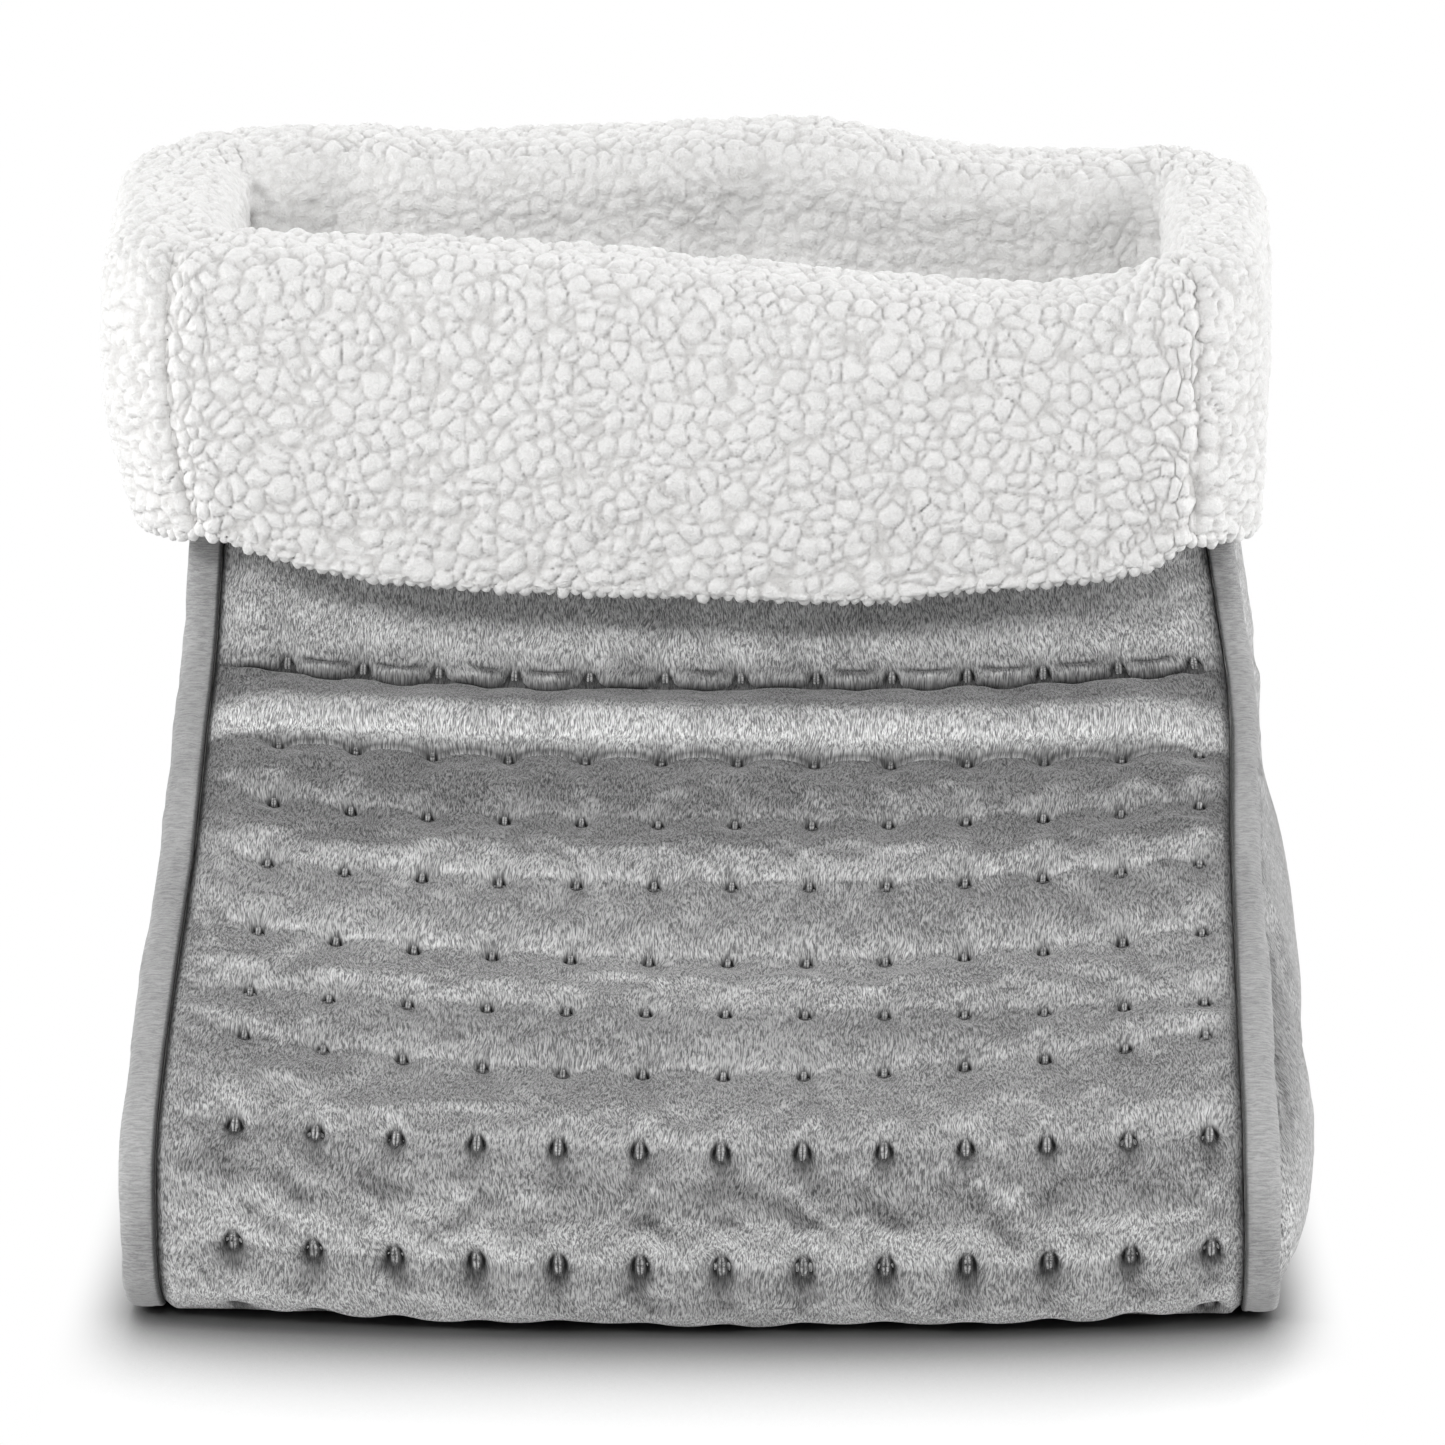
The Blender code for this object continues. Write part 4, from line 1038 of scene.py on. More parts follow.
hem_heights = np.array([
    (-150, 175), (-135, 172), (-128, 170), (-114, 166.5), (-102, 163.5), (-86, 161), (-71, 159.5),
    (-56, 158.5), (-40, 158), (-23, 158), (-6, 157.2), (7, 156.8), (26, 156), (45, 156),
    (56, 157.6), (73, 159.2), (88, 161), (99, 162.4), (112, 164.4), (120, 166), (127, 168.5),
    (135, 170.5), (150, 172)]) * MM
hem_lift = 1.8 * MM
corner_hem_height = 172.5 * MM
hem_drops = {"left": (61.0 * MM, 67.0 * MM), "right": (61.0 * MM, 67.0 * MM),
             "back": (61.0 * MM, 73.0 * MM)}
flare_heights = np.array([154, 166, 176, 189, 204, 219, 254]) * MM
flares = {"left": np.array([(-9, -7, -3, 0, 2.5, 3.5, 3.5), (-9, -7, -3, 2, 7, 12, 13)]) * MM,
          "right": np.array([(-13,) * 7, (-8, -7.5, -5.5, -4.5, -4, -4, -4)]) * MM}
flare_begins = 105.0 * MM
flare_run = 40.0 * MM
rim_reach = 70.0 * MM
dents = ((-108.0, 0.0, 13.0, 6.5), (119.0, 0.0, 11.0, 7.0), (8.0, 0.3, 12.0, 3.5))
dent_level = 240.0 * MM
curl_size = 5.1 * MM
curl_height = 2.9 * MM
curl_level = 0.80
lining_curl_share = 0.6
seam_fade = 2.6 * MM
seam_depth = 1.5 * MM
lap_proud = 3.7 * MM
lap_level = 24.0 * MM
lap_end = 28.0 * MM
lap_sink = 3.6 * MM
lap_swell = 13.0 * MM
tuck_level = 25.6 * MM
tuck_share = 0.75
tuck_run = 3.0 * MM
crest_power = 0.85
cuff_swell = 1.5 * MM
hem_round = 1.6 * MM
corner_steps = 34
seam_turn = 22.0
cuff_runs = {
    "front": ((-1, -1), (1, -1), -90 - seam_turn, -90.0, -90 + seam_turn, 376),
    "right": ((1, -1), (1, 1), -90 + seam_turn, 0.0, 45.0, 170),
    "back": ((1, 1), (-1, 1), 45.0, 90.0, 135.0, 330),
    "left": ((-1, 1), (-1, -1), 135.0, 180.0, 270 - seam_turn, 170),
}


def cuff_ring(name):
    """The two corners of a piece of the ring, and each station's angle and share of the way."""
    a, b, start, straight, end, count = cuff_runs[name]
    angle = np.concatenate([np.linspace(start, straight, corner_steps), np.full(count - 1, straight),
                            np.linspace(straight, end, corner_steps)])
    share = np.concatenate([np.zeros(corner_steps), np.linspace(0, 1, count + 1)[1:-1],
                            np.ones(corner_steps)])
    return a, b, np.radians(angle), share


def ring_spot(sx, sy, angle, reach, level):
    share = (reach + cuff_reach) / (2 * cuff_reach)
    radius = cuff_corner_radii[0] + share * (cuff_corner_radii[1] - cuff_corner_radii[0])
    x = sx * (cuff_half_width + reach * cuff_side_share - radius) + radius * np.cos(angle)
    edge = back_y + reach if sy > 0 else front_y + lean_slope * level - reach
    return np.stack([x, edge - sy * radius + radius * np.sin(angle)], -1)


def placed(ring, reach, level):
    """Points of the ring for each station and each reach and level, with the rim's waves."""
    a, b, angle, share = ring
    at_a, at_b = (ring_spot(*corner, angle[:, None], reach, level) for corner in (a, b))
    spot = at_a + (at_b - at_a) * share[:, None, None]
    return np.stack([spot[..., 0], spot[..., 1], rim_height(spot[..., 1]) + level], -1)


def draped(ring, reach, level):
    return rolling(wavy(placed(ring, reach, level), rim_share(level)))


def rim_share(level):
    """The rim's rise and fall dies away down the cuff."""
    return 1 - np.clip(-level / rim_reach, 0, 1)


def wavy(points, fade):
    """The rim's rise and fall and the sides' flare, as the photo shows them."""
    x, y, z = points[..., 0], points[..., 1], points[..., 2]
    front, back = (np.interp(x, *moves.T) for moves in (rim_front_moves, rim_back_moves))
    share = smooth((y - front_y + 5 * MM) / (shaft_depth + 5 * MM))
    z = z + (front + (back - front) * share) * fade
    ends = {side: [np.interp(z, flare_heights, row) for row in flares[side]] for side in flares}
    left, right = (near + (far - near) * share for near, far in ends.values())
    x = x + np.where(x < 0, -left, right) * smooth((abs(x) - flare_begins) / flare_run)
    return np.stack([x, y, z], -1)


def rolling(points):
    """Soft dents and swells of the whole cuff and of the lining's top."""
    x, y, z = points[..., 0], points[..., 1], points[..., 2]
    dent = sum(depth * MM * bell(x - place * MM - slant * (z - dent_level), wide * MM)
               for place, slant, wide, depth in dents)
    inside = smooth((y - 90 * MM) / (30 * MM)) * smooth((150 * MM - y) / (14 * MM))
    wide = noise(points, 45 * MM, 71) * 2.0 * MM
    moved = points.copy()
    moved[..., 1] = y + dent * inside + wide * smooth((z - 0.12) / 0.05)
    return moved


def cuff_profile(leg):
    """Reach, level and pile, from the lap inside over the fold to the hem and back up.

    leg is the drop at each station, and the arrays that come back are stations by points."""
    outer = cuff_fold_radius + cuff_half_thickness
    inner = cuff_fold_radius - cuff_half_thickness
    centre = cuff_reach - cuff_fold_radius
    face = -cuff_reach - lap_proud
    swell = cuff_half_thickness - lap_proud
    arc = np.linspace(0, np.pi / 2, 24)
    rows = [(face + lap_sink + 1.5 * MM, -lap_end, 0.0, 0.0)]
    rows += [(face + lap_sink * ramp(down, lap_level, lap_end) - swell * smooth(1 - down / lap_swell),
              -down, 0.0, 1.0) for down in np.linspace(lap_end, 0, 36)[:-1]]
    rows += [(-centre - outer * np.cos(a), outer * np.sin(a), 0.0, 1.0) for a in arc]
    rows += [(x, outer, 0.0, 1.0) for x in np.linspace(-centre, centre, 20)[1:-1]]
    rows += [(centre + outer * np.sin(a) ** crest_power, outer * np.cos(a) ** crest_power, 0.0, 1.0)
             for a in arc]
    rows += [(cuff_reach + cuff_half_thickness + cuff_swell * np.sin(np.pi * t), 0.0, t, 1.0)
             for t in np.linspace(0, 1, 104)[1:]]
    rows += [(cuff_reach + cuff_half_thickness * c, -hem_round * d, 1.0, 0.6)
             for c, d in ((0.8, 0.6), (0.45, 1.0), (0.0, 1.15), (-0.5, 1.0))]
    rows += [(cuff_reach - cuff_half_thickness, 0.0, t, 0.0) for t in (1.0, 0.8, 0.6, 0.4, 0.2, 0.0)]
    rows += [(centre + inner * np.cos(a), inner * np.sin(a), 0.0, 0.0) for a in (0.8, 1.57)]
    rows += [(-centre - inner * np.cos(a), inner * np.sin(a), 0.0, 0.0) for a in (1.57, 0.8, 0.0)]
    rows += [(-cuff_reach + cuff_end_half_thickness, -cuff_lap, 0.0, 0.0)]
    reach, level, down, pile = np.array(rows).T
    level = level - leg[:, None] * down
    return np.broadcast_to(reach, level.shape), level, np.broadcast_to(pile, level.shape)


def cuff_legs(name, ring):
    """How far below the rim the hem hangs at each station."""
    level = np.zeros((len(ring[2]), 1))
    x, y, rim = placed(ring, level + cuff_reach, level)[:, 0].T
    if name == "front":
        return rim - np.interp(x, *hem_heights.T) - hem_lift
    low, high = hem_drops[name]
    share = smooth((y - front_y) / shaft_depth)
    ends = (rim - corner_hem_height) * (1 - share) + low * share
    return ends + (high - low) * np.sin(np.pi * ring[3]) ** 0.8


def curls(points, coarse=1.0):
    """Height of the sherpa's curls, rounded domes of mixed sizes, and the painted shade in the crevices
    between them.
    """
    warp = np.stack([1.5 * MM * noise(points, 7 * MM, 81 + k)
                     + 0.5 * MM * noise(points, 2.6 * MM, 86 + k) for k in range(3)], -1)
    near, room = cells(points + warp, curl_size * coarse, 91)
    edge = near / (near + room + 1e-9)
    near, room = cells(points + 0.6 * warp, curl_size * coarse * 0.52, 93)
    small = near / (near + room + 1e-9)
    height = 0.82 * np.sqrt(np.clip(1.03 - edge ** 2.2, 0, 1)) + 0.12 * (1 - small ** 2.2)
    crevice = smooth((edge - 0.76) / 0.24) * 0.85 + smooth((small - 0.8) / 0.2) * 0.12
    return height + 0.18 * noise(points, 5.5 * MM, 95), np.clip(crevice, 0, 1)


def cuff_piece(name):
    ring = cuff_ring(name)
    leg = cuff_legs(name, ring)
    reach, level, pile = cuff_profile(leg)
    points = draped(ring, reach, level)
    out = turned(normals_of(points, wrap=True), points - points.mean(1, keepdims=True))
    height, crevice = curls(points)
    runs = np.linalg.norm(np.diff(points, axis=0), axis=-1)
    along = np.concatenate([np.zeros((1, runs.shape[1])), np.cumsum(runs, 0)])
    ends = np.minimum(along, along[-1:] - along)
    seam = bell(ends, seam_fade) * smooth(reach / cuff_reach)
    pile = pile * np.where(reach < -cuff_reach, lining_curl_share, 1.0)
    lift = pile * (curl_height * (height - curl_level)) - seam * seam_depth * (pile > 0.5)
    points = points + out * lift[..., None]
    around = np.broadcast_to(np.arange(along.shape[1]) * 0.7 * MM, along.shape)
    # Painted shade in the curls' crevices and along the seams at the ends of each piece
    dark = np.clip(crevice + 0.7 * bell(ends, 1.2 * MM) * (seam > 0.3), 0, 1) * pile
    piece = mesh_piece(f"cuff_fleece_{name}", points.reshape(-1, 3), ring_faces(*along.shape),
                       sherpa(), np.stack([along, around], -1).reshape(-1, 2), {"crevice": dark})
    dress(piece, "sherpa", f"cuff_{name}", fill=0.7)
    fringe(name, ring, leg)


# Beaded fringe along the hem
bead_radius = 1.75 * MM
bead_pitch = 3.3 * MM
bead_rings = 8
bead_sides = 10
bead_reach = cuff_reach + 2.2 * MM


def fringe(name, ring, leg):
    """A row of small tufts at the hem, each a lumpy drop half sunk in the fleece."""
    level = -leg[:, None]
    line = draped(ring, np.full_like(level, bead_reach), level)[:, 0]
    along = np.concatenate([[0], np.cumsum(np.linalg.norm(np.diff(line, axis=0), axis=1))])
    count = int(along[-1] / bead_pitch)
    at = (np.arange(count) + 0.5) * along[-1] / count
    seats = np.stack([np.interp(at, along, line[:, k]) for k in range(3)], 1)
    number = np.stack([np.arange(count), np.full(count, len(name)), np.zeros(count, int)], -1)
    wide = bead_radius * (0.85 + 0.35 * hashed(number, 3))
    drop = bead_radius * (0.35 * hashed(number, 4) - 0.1)
    polar = np.linspace(0.32, np.pi - 0.32, bead_rings)[:, None]
    turn = np.linspace(0, 2 * np.pi, bead_sides, endpoint=False)
    ball = np.stack([np.sin(polar) * np.cos(turn), np.sin(polar) * np.sin(turn),
                     np.cos(polar) * 1.25 + 0 * turn], -1)
    points = seats[:, None, None] + ball * wide[:, None, None, None]
    points[..., 2] -= drop[:, None, None]
    points = points + ball * (noise(points, 1.6 * MM, 97)[..., None] * 0.35 * MM)
    piece = mesh_piece(f"cuff_fringe_{name}", points.reshape(-1, 3),
                       tube_faces(count, bead_rings, bead_sides), sherpa(), None,
                       {"crevice": np.zeros(points[..., 0].size)})
    dress(piece, "sherpa", fill=0.7)


# Lining and hidden layers
lining_step = 0.95 * MM
lining_side_size = (190, 110)
batt_side_size = (90, 48)
batt_step = 3.2 * MM
hole_room = 0.5 * MM


def wall_station(depth, drop, front):
    """Where a layer of the front or back wall is a given drop below the sloping rim."""
    low, high = (rim_s, bend_start) if front else (heel_end, back_rim_s)
    for step in range(50):
        middle = (low + high) / 2
        place, normal = outline.at(np.array([middle]))
        y, z = (place - normal * depth)[0]
        if (z > rim_height(y) - drop) == front:
            low = middle
        else:
            high = middle
    return (low + high) / 2


def layer(name, slot, node, looks, top, bottom, first, last, fine, rough=None, seed=0, fill=0.5,
          room=None):
    """A soft layer of the strip between two depths; without roughness its inner face is curly."""
    curly, step = rough is None, 6 if fine < 1.5 * MM else 3
    vv, xx, rows, cols, hole = strip_grid(
        np.linspace(-strip_half_width, strip_half_width, int(2 * strip_half_width / fine)),
        np.linspace(first, last, int((last - first) / fine)), step, room)
    shown, back = (fitted(strip(xx, vv, d)) for d in ((bottom, top) if curly else (top, bottom)))
    if curly:
        shown = tucked(shown, back)
        height, crevice = curls(shown, 1.0 if fine < 1.5 * MM else 1.5)
        lift = lining_curl_share * curl_height * (height - curl_level)
    else:
        crevice = 0 * xx
        grain = [size * fine / MM for size in (2.5, 3)]
        lift = -rough * (0.5 + 0.5 * flat_noise(xx, vv, *grain, seed))
    edge = smooth((strip_half_width - abs(xx)) / (2 * fine))
    outer = shown + turned(normals_of(shown), shown - back) * (lift * edge)[..., None]
    slab(name, slot, node, looks, outer, back, rows, cols, np.stack([xx, vv], -1),
         {"crevice": crevice}, hole, fill)


def tucked(shown, back):
    """The lining's top edge goes in behind the cuff's lap."""
    drop = rim_height(shown[..., 1]) + wavy(shown, 1.0)[..., 2] - 2 * shown[..., 2]
    return shown + (back - shown) * (tuck_share * smooth((tuck_level - drop) / tuck_run)[..., None])


def linings():
    gap, pile, depths = piece_gap / 2, sherpa_painted_lighter(), (lining_top, lining_bottom)
    front_top = max(wall_station(depth, cuff_lap + piece_gap, True) for depth in depths)
    back_top = min(wall_station(depth, cuff_lap + piece_gap, False) for depth in depths)
    for name, first, last, fine in (
            ("back", heel_start + gap, back_top, lining_step),
            ("front", front_top, bend_start - gap, 1.8 * MM),
            ("instep", bend_start + gap, toe_low_start - gap, 2.2 * MM),
            ("sole", toe_low_start + gap, heel_start - gap, 2.2 * MM)):
        layer(f"lining_fleece_{name}", "sherpa", f"lining_{name}", pile, *depths, first, last, fine)
    for side, sign in side_signs.items():
        rung, across = side_grid(*lining_side_size)
        flat = side_points(rung, across, side_lining_inset, cuff_lap + 2 * MM)
        behind = fitted(at_x(flat, sign * strip_half_width))
        shown = tucked(fitted(at_x(flat, sign * side_lining_near)), behind)
        height, crevice = curls(shown)
        edge = smooth(np.minimum(across, 1 - across) * 30)
        shown[..., 0] -= sign * lining_curl_share * curl_height * (height - curl_level) * edge
        slab(f"lining_fleece_{side}", "sherpa", f"lining_{side}", pile, shown, behind,
             picks(rung[:, 0], 6), picks(across[0], 6), flat[..., 1:], {"crevice": crevice})


def hidden_layers():
    gap, batt = piece_gap / 2, wadding()
    layer("wadding_batt_front", "wadding", "wadding_front", batt, wadding_top, wadding_bottom, rim_s,
          toe_low_end - gap, batt_step, 0.5 * MM, 101)
    layer("wadding_batt_back", "wadding", "wadding_back", batt, wadding_top, wadding_bottom,
          heel_start + gap, back_rim_s, batt_step, 0.5 * MM, 102, room=hole_room)
    layer("sole_foam_sheet", "foam", "sole_foam", foam(), wadding_top, foam_bottom,
          toe_low_end + gap, heel_start - gap, batt_step, 0.2 * MM, 103)
    layer("heater_felt", "carrier_felt", "heater_carrier", felt(), carrier_top, carrier_bottom,
          bend_start + gap, heel_start - gap, batt_step, 0.1 * MM, 104, fill=0.3)
    for side, sign in side_signs.items():
        rung, across = side_grid(*batt_side_size)
        flat = side_points(rung, across, side_inset)
        swell = side_fullness(side, rung, across, flat[..., 2])
        rough = 0.4 * MM * (0.5 + 0.5 * flat_noise(flat[..., 1], flat[..., 2], 9, 9, 105))
        outer = at_x(flat, sign * (side_wadding_far + swell - rough * (swell > 0.5 * MM)))
        slab(f"wadding_batt_{side}", "wadding", f"wadding_{side}", batt, fitted(outer),
             fitted(at_x(flat, sign * side_wadding_near)), picks(rung[:, 0], 4),
             picks(across[0], 4), flat[..., 1:], {"crevice": 0 * rung})


# Materials, in linear colours
def rgb(red, green=None, blue=None):
    return (red, red if green is None else green, red if blue is None else blue, 1.0)


class Shade:
    """Builds a node tree. An input takes a number, a colour, a node or one of its outputs."""

    def __init__(self, tree):
        self.nodes, self.links = tree.nodes, tree.links

    def node(self, kind, inputs, **settings):
        made = self.nodes.new("ShaderNode" + kind)
        for key, value in settings.items():
            setattr(made, key, value)
        return self.fill(made, inputs)

    def fill(self, made, inputs):
        for key, value in inputs.items():
            if isinstance(value, bpy.types.Node):
                value = value.outputs[0]
            if isinstance(value, bpy.types.NodeSocket):
                self.links.new(value, made.inputs[key])
            else:
                made.inputs[key].default_value = value
        return made

    def sums(self, operation, first, second):
        return self.node("Math", {0: first, 1: second}, operation=operation)

    def vectors(self, operation, *sources):
        return self.node("VectorMath", dict(enumerate(sources)), operation=operation)

    def spread(self, source, low, high):
        return self.node("MapRange", {"Value": source, "From Min": low, "From Max": high})

    def total(self, *parts):
        """The weighted sum of several values."""
        return functools.reduce(lambda a, b: self.sums("ADD", a, b),
                                [self.sums("MULTIPLY", *part) for part in parts])

    def mixed(self, share, first, second):
        made = self.node("Mix", {0: share, 6: first, 7: second}, data_type="RGBA")
        return made.outputs[2]

    def value(self, name):
        return self.node("Attribute", {}, attribute_name=name).outputs["Fac"]

    def scaled(self, source, scale):
        return self.node("Mapping", {"Vector": source, "Scale": scale})

    def cloth(self, scale=(1, 1, 1)):
        """The cloth's own coordinates times a scale per axis."""
        return self.scaled(self.node("UVMap", {}, uv_map="cloth"), scale)

    def solid(self, scale=(1, 1, 1)):
        return self.scaled(self.node("TexCoord", {}).outputs["Object"], scale)

    def bent(self, place, scale, reach):
        """The place moved about by slow noise, so that fibres sway and never run straight."""
        sway = self.node("TexNoise", {"Scale": scale, "Detail": 1.0, "Vector": place})
        return self.vectors("MULTIPLY_ADD", sway.outputs["Color"], (reach,) * 3, place)

    def grain(self, place, detail, rough, bend, low):
        """Noise from 0 to 1, spread so that the part from low to 1 - low fills the range."""
        made = self.node("TexNoise", {"Scale": 1.0, "Detail": detail, "Roughness": rough,
                                      "Distortion": bend, "Vector": place})
        return self.spread(made, low, 1 - low)


class Surface(Shade):
    """A Principled material."""

    def __init__(self, name, roughness, specular, sheen=0.0, sheen_roughness=0.5, metallic=0.0):
        self.material = bpy.data.materials.new(name)
        self.material.use_nodes = True
        super().__init__(self.material.node_tree)
        self.shader = self.fill(self.nodes["Principled BSDF"], {
            "Roughness": roughness, "Specular IOR Level": specular, "Sheen Weight": sheen,
            "Sheen Roughness": sheen_roughness, "Metallic": metallic})

    def done(self, colour, height, distance, strength=0.7):
        bump = self.node("Bump", {"Height": height, "Distance": distance, "Strength": strength})
        self.fill(self.shader, {"Base Color": colour, "Normal": bump})
        return self.material


@functools.cache
def plush():
    made = Surface("silver_plush", 0.85, 0.2, 0.4, 0.4)
    flow = made.bent(made.cloth(), 90.0, 0.0045)
    patches = made.grain(made.scaled(flow, (24, 34, 1)), 3.0, 0.6, 0.6, 0.36)
    strokes = made.grain(made.scaled(flow, (110, 90, 1)), 4.0, 0.62, 1.0, 0.36)
    clumps = made.grain(made.scaled(flow, (1500, 400, 1)), 1.0, 0.5, 0.3, 0.36)
    hairs = made.grain(made.scaled(flow, (3200, 760, 1)), 2.0, 0.6, 0.4, 0.38)
    tone = made.total((patches, 0.09), (strokes, 0.08), (clumps, 0.29), (hairs, 0.54))
    tone = made.spread(tone, 0.22, 0.78)
    # Painted light and shade: a shaded and a lit copy of the pile's colours, mixed by the painted
    # facing shade
    low = made.mixed(tone, rgb(0.055, 0.055, 0.056), rgb(0.28))
    high = made.mixed(tone, rgb(0.25, 0.25, 0.252), rgb(0.96))
    base = made.mixed(made.value("facing_shade"), low, high)
    # Painted shade in the dimples at the tacks and in the patch below each tack
    base = made.mixed(made.sums("MULTIPLY", made.value("hollow"), 0.35), base, rgb(0.10))
    # Painted shade in the pits round the tacks, in the seam grooves and where the folds close
    base = made.mixed(made.spread(made.value("pit"), 0.0, 0.8), base, rgb(0.012))
    return made.done(base, made.total((clumps, 0.4), (hairs, 0.6)), 0.4 * MM)


@functools.cache
def binding_cloth():
    made = Surface("napped_binding", 0.9, 0.15, 0.35, 0.4)
    ribs = made.grain(made.cloth((420, 1900, 1)), 2.0, 0.6, 0.5, 0.37)
    tufts = made.node("TexVoronoi", {"Vector": made.cloth((900, 2300, 1))})
    specks = made.node("SeparateColor", {"Color": tufts.outputs["Color"]})
    soft = made.grain(made.cloth((60, 30, 1)), 2.0, 0.6, 0.5, 0.3)
    tone = made.total((ribs, 0.38), (specks, 0.27), (soft, 0.35))
    base = made.mixed(tone, rgb(0.19, 0.19, 0.192), rgb(0.54))
    # Painted shade in the seam groove
    base = made.mixed(made.value("groove"), base, rgb(0.02))
    return made.done(base, made.total((ribs, 0.6), (specks, 0.4)), 0.3 * MM, 0.6)


def fleece(name, dark, light, depth):
    made = Surface(name, 0.95, 0.1, 0.25, 0.6)
    place = made.bent(made.solid(), 300.0, 0.0016)
    fuzz = made.grain(made.scaled(place, (1500,) * 3), 3.0, 0.65, 0.4, 0.32)
    wool = made.grain(made.scaled(place, (520,) * 3), 2.0, 0.6, 1.2, 0.32)
    base = made.mixed(made.total((fuzz, 0.6), (wool, 0.4)), dark, light)
    # Painted shade: the crevices and seams darkened by the given depth
    base = made.mixed(made.sums("MULTIPLY", made.value("crevice"), depth), base,
                      rgb(0.48, 0.465, 0.45))
    return made.done(base, made.total((fuzz, 0.45), (wool, 0.55)), 0.45 * MM)


# Painted light and shade: the cuff and the lining are one fleece, the lining's copy painted lighter and
# the cuff's copy darker
@functools.cache
def sherpa():
    return fleece("white_sherpa", rgb(0.74, 0.736, 0.727), rgb(0.875, 0.873, 0.867), 0.5)


@functools.cache
def sherpa_painted_lighter():
    return fleece("white_sherpa_painted_lighter", rgb(0.88, 0.877, 0.87), rgb(0.985, 0.984, 0.98), 0.35)


@functools.cache
def thread():
    made = Surface("satin_thread", 0.5, 0.45, 0.2)
    twist = made.grain(made.solid((900, 900, 2600)), 1.0, 0.5, 0.0, 0.35)
    return made.done(made.mixed(twist, rgb(0.22), rgb(0.55)), twist, 0.12 * MM)


def fibrous(name, dark, light, scale, roughness):
    made = Surface(name, roughness, 0.15, 0.2)
    fibres = made.grain(made.cloth(scale), 3.0, 0.65, 1.0, 0.3)
    return made.done(made.mixed(fibres, dark, light), fibres, 0.4 * MM)


@functools.cache
def wadding():
    return fibrous("polyester_wadding", rgb(0.72, 0.72, 0.70), rgb(0.88, 0.88, 0.87), (500, 700, 1),
                   1.0)


@functools.cache
def foam():
    return fibrous("foam_sheet", rgb(0.58, 0.58, 0.53), rgb(0.76, 0.76, 0.71), (900, 900, 1), 0.95)


@functools.cache
def felt():
    return fibrous("heater_felt", rgb(0.50, 0.46, 0.38), rgb(0.68, 0.64, 0.56), (300, 1200, 1), 0.95)


def hard_parts():
    """Moulded, drawn and plated surfaces for the solids that keep their own shape."""
    for name, dark, light, scale, roughness, depth, metallic, nodes in (
            ("white_silicone", rgb(0.66, 0.66, 0.63), rgb(0.78, 0.78, 0.76), 500, 0.45, 0.05, 0.0,
             ("heating_wire", "supply_lead")),
            ("white_moulding", rgb(0.62, 0.62, 0.61), rgb(0.76, 0.76, 0.75), 700, 0.5, 0.05, 0.0,
             ("end_splice", "thermal_cutout", "inlet_backplate")),
            ("dark_moulding", rgb(0.018, 0.018, 0.02), rgb(0.045, 0.045, 0.048), 1400, 0.5, 0.08,
             0.0, ("inlet_housing",)),
            ("plated_contact", rgb(0.62, 0.59, 0.53), rgb(0.80, 0.78, 0.72), 900, 0.28, 0.02, 1.0,
             ("inlet_pin_1", "inlet_pin_2", "inlet_pin_3"))):
        made = Surface(name, roughness, 0.5, metallic=metallic)
        grain = made.grain(made.solid((scale,) * 3), 3.0, 0.6, 0.2, 0.3)
        made.done(made.mixed(grain, dark, light), grain, depth * MM, 0.5)
        for node in nodes:
            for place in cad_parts[node].material_slots:
                place.material = made.material


# Floor, light and camera
camera_elevation = 13.0
camera_azimuth = 0.9
camera_lens = 162.6
camera_sensor = 36.0
camera_place = (29.0 * MM, -1695.0 * MM, 509.7 * MM)
floor_half = 6.0
# Painted shadow on the floor: near the object the colour that the camera sees is darkened by occlusion,
# and farther out it fades to plain white
floor_shadow_reach = 100.0 * MM
floor_shadow_power = 2.3
floor_shadow_tones = (0.08, 1.13)
floor_shadow_box = (0.13, 0.15, 0.0)
fade_scale = (5.5, 1.0, 1.0)
white_begins = (0.045, 0.17)
world_fill = 0.25
lamp_aim = (0.0, 0.0, 0.12)
lamps = (
    ("key_front", (-0.3, -2.1, 1.6), 0.5, 19.0),
    ("front_left", (-1.7, -1.45, 1.4), 0.6, 22.0),
    ("front_right", (1.7, -1.45, 1.3), 0.8, 5.0),
    ("side_left", (-2.1, 0.1, 0.8), 1.0, 19.0),
    ("side_right", (2.1, 0.0, 0.8), 1.0, 29.0),
    ("back_high", (0.2, 1.9, 1.75), 1.0, 31.0),
)


def linked(name, data):
    made = bpy.data.objects.new(name, data)
    bpy.context.scene.collection.objects.link(made)
    return made


def looking(made, place, view):
    made.location = place
    made.rotation_mode = "QUATERNION"
    made.rotation_quaternion = view.to_track_quat("-Z", "Y")


def camera():
    data = bpy.data.cameras.new("photo_camera")
    data.lens, data.sensor_width = camera_lens, camera_sensor
    made = linked("photo_camera", data)
    tilt, turn = math.radians(camera_elevation), math.radians(camera_azimuth)
    looking(made, camera_place, Vector((-math.sin(turn) * math.cos(tilt),
                                        math.cos(turn) * math.cos(tilt), -math.sin(tilt))))
    bpy.context.scene.camera = made
    bpy.context.scene.view_settings.view_transform = "Standard"


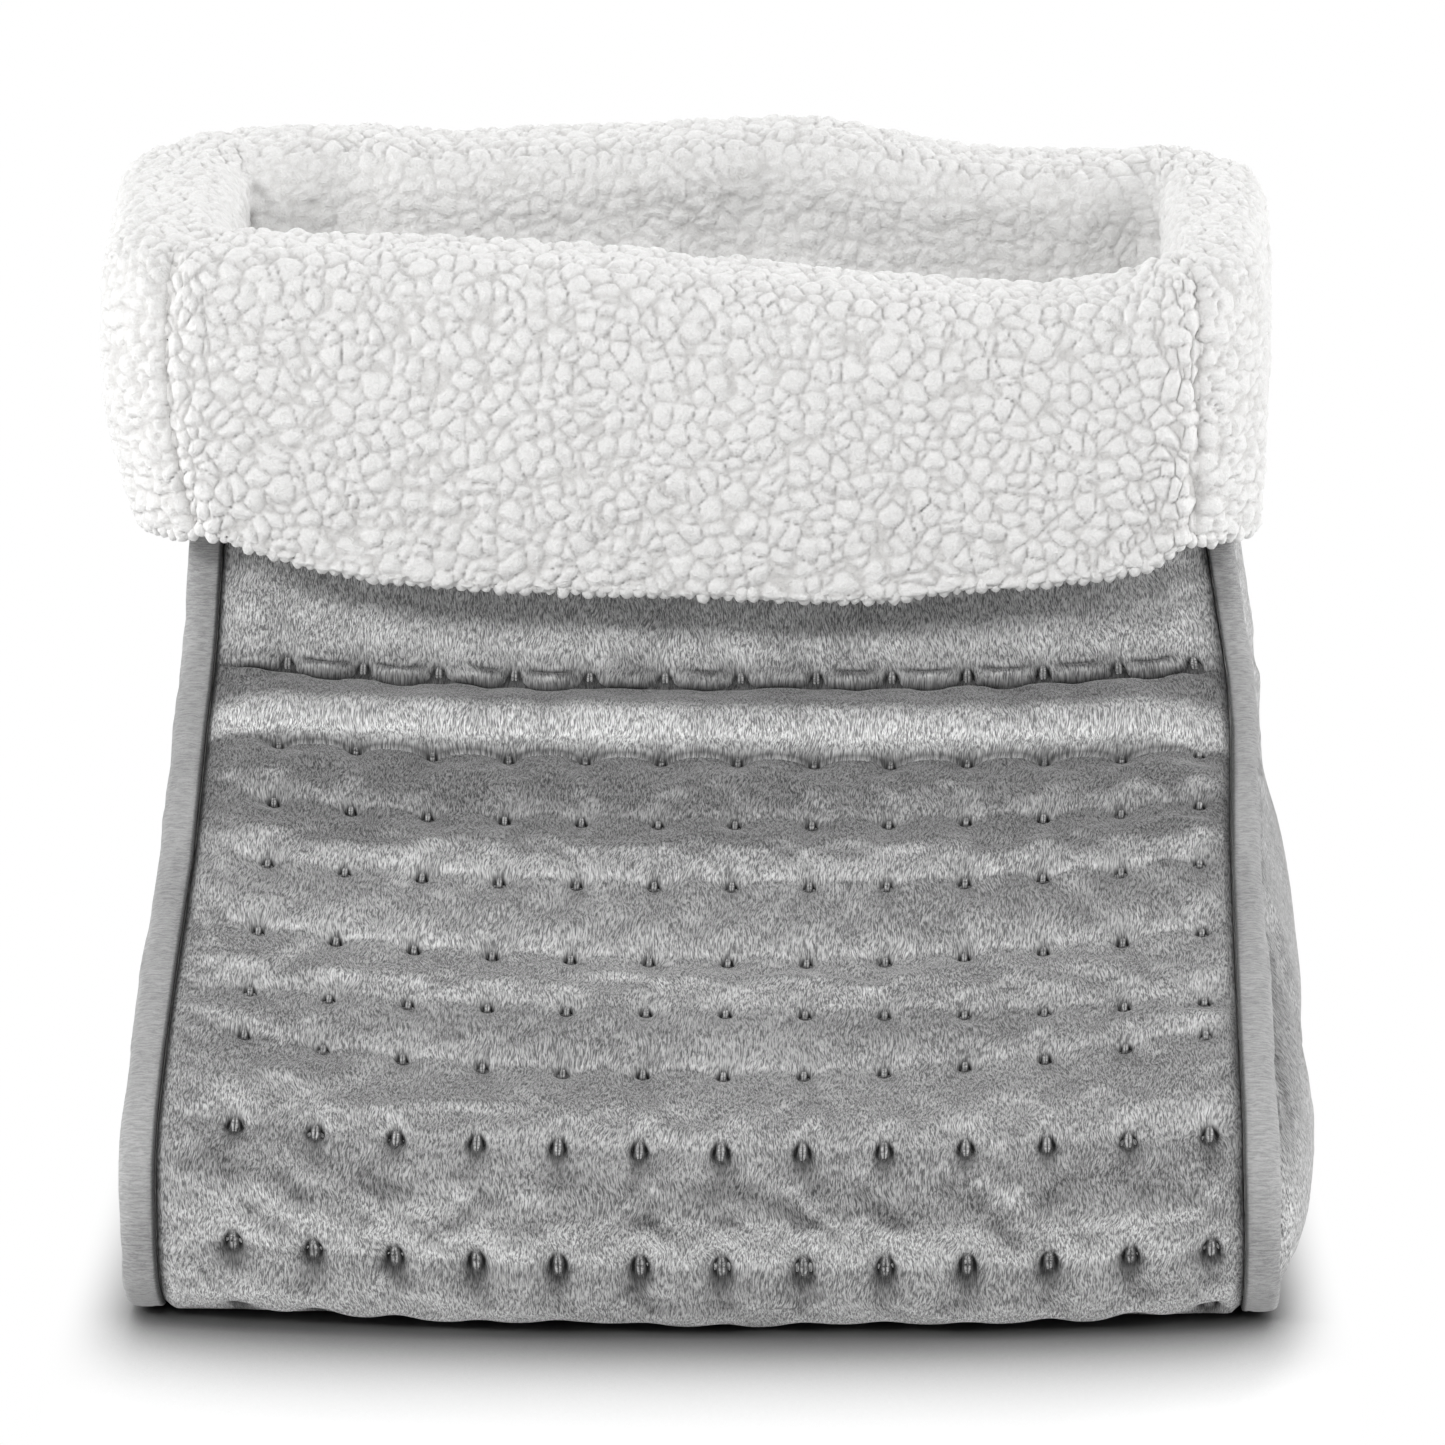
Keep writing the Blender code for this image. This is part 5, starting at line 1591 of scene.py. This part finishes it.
def light():
    """The lamps, and a world white to the camera and to gloss and a softer fill to the rest."""
    for name, place, size, watts in lamps:
        data = bpy.data.lights.new(name, "AREA")
        data.shape, data.size, data.energy = "DISK", size, watts
        looking(linked(name, data), place, Vector(lamp_aim) - Vector(place))
    world = bpy.data.worlds.new("studio")
    bpy.context.scene.world = world
    world.use_nodes = True
    made = Shade(world.node_tree)
    fill = made.fill(made.nodes["Background"], {"Color": rgb(1.0), "Strength": world_fill})
    white = made.node("Background", {"Color": rgb(1.0)})
    rays = made.node("LightPath", {}).outputs
    seen = made.sums("MAXIMUM", rays["Is Camera Ray"], rays["Is Glossy Ray"])
    both = made.node("MixShader", {0: seen, 1: fill, 2: white})
    made.fill(made.nodes["World Output"], {"Surface": both})


def floor():
    """White paper: the camera sees it brighter, and far from the object it fades to plain white."""
    data = bpy.data.meshes.new("studio_floor")
    data.from_pydata([(x * floor_half, y * floor_half, 0)
                      for x, y in ((-1, -1), (1, -1), (1, 1), (-1, 1))], [], [(0, 1, 2, 3)])
    paper = bpy.data.materials.new("white_paper")
    paper.use_nodes = True
    made = Shade(paper.node_tree)
    made.nodes.remove(made.nodes["Principled BSDF"])
    # Painted shadow: occlusion darkens the floor's colour for the camera, on top of the lamps' own
    # shading
    near = made.node("AmbientOcclusion", {"Distance": floor_shadow_reach}).outputs["AO"]
    contact = made.node("MapRange", {"Value": made.sums("POWER", near, floor_shadow_power),
                                     "To Min": floor_shadow_tones[0], "To Max": floor_shadow_tones[1]})
    place = made.vectors("ABSOLUTE", made.node("TexCoord", {}).outputs["Object"])
    place = made.vectors("SUBTRACT", place, floor_shadow_box)
    place = made.vectors("MULTIPLY", made.vectors("MAXIMUM", place, (0.0, 0.0, 0.0)), fade_scale)
    away = made.vectors("LENGTH", place).outputs["Value"]
    fade = made.node("MapRange", {"Value": away, "From Min": white_begins[0],
                                  "From Max": white_begins[1]}, interpolation_type="SMOOTHSTEP")
    seen = made.node("MixShader", {0: fade, 1: made.node("BsdfDiffuse", {"Color": contact}),
                                   2: made.node("Emission", {})})
    ray = made.node("LightPath", {}).outputs["Is Camera Ray"]
    both = made.node("MixShader", {0: ray, 1: made.node("BsdfDiffuse", {"Color": rgb(0.82)}), 2: seen})
    made.fill(made.nodes["Material Output"], {"Surface": both})
    data.materials.append(paper)
    linked("studio_floor", data)


camera()
light()
floor()
front_piece()
back_piece()
sole_piece()
for side in ("left", "right"):
    side_piece(side)
    binding_piece(side)
for name in ("front", "right", "back", "left"):
    cuff_piece(name)
linings()
hidden_layers()
hard_parts()
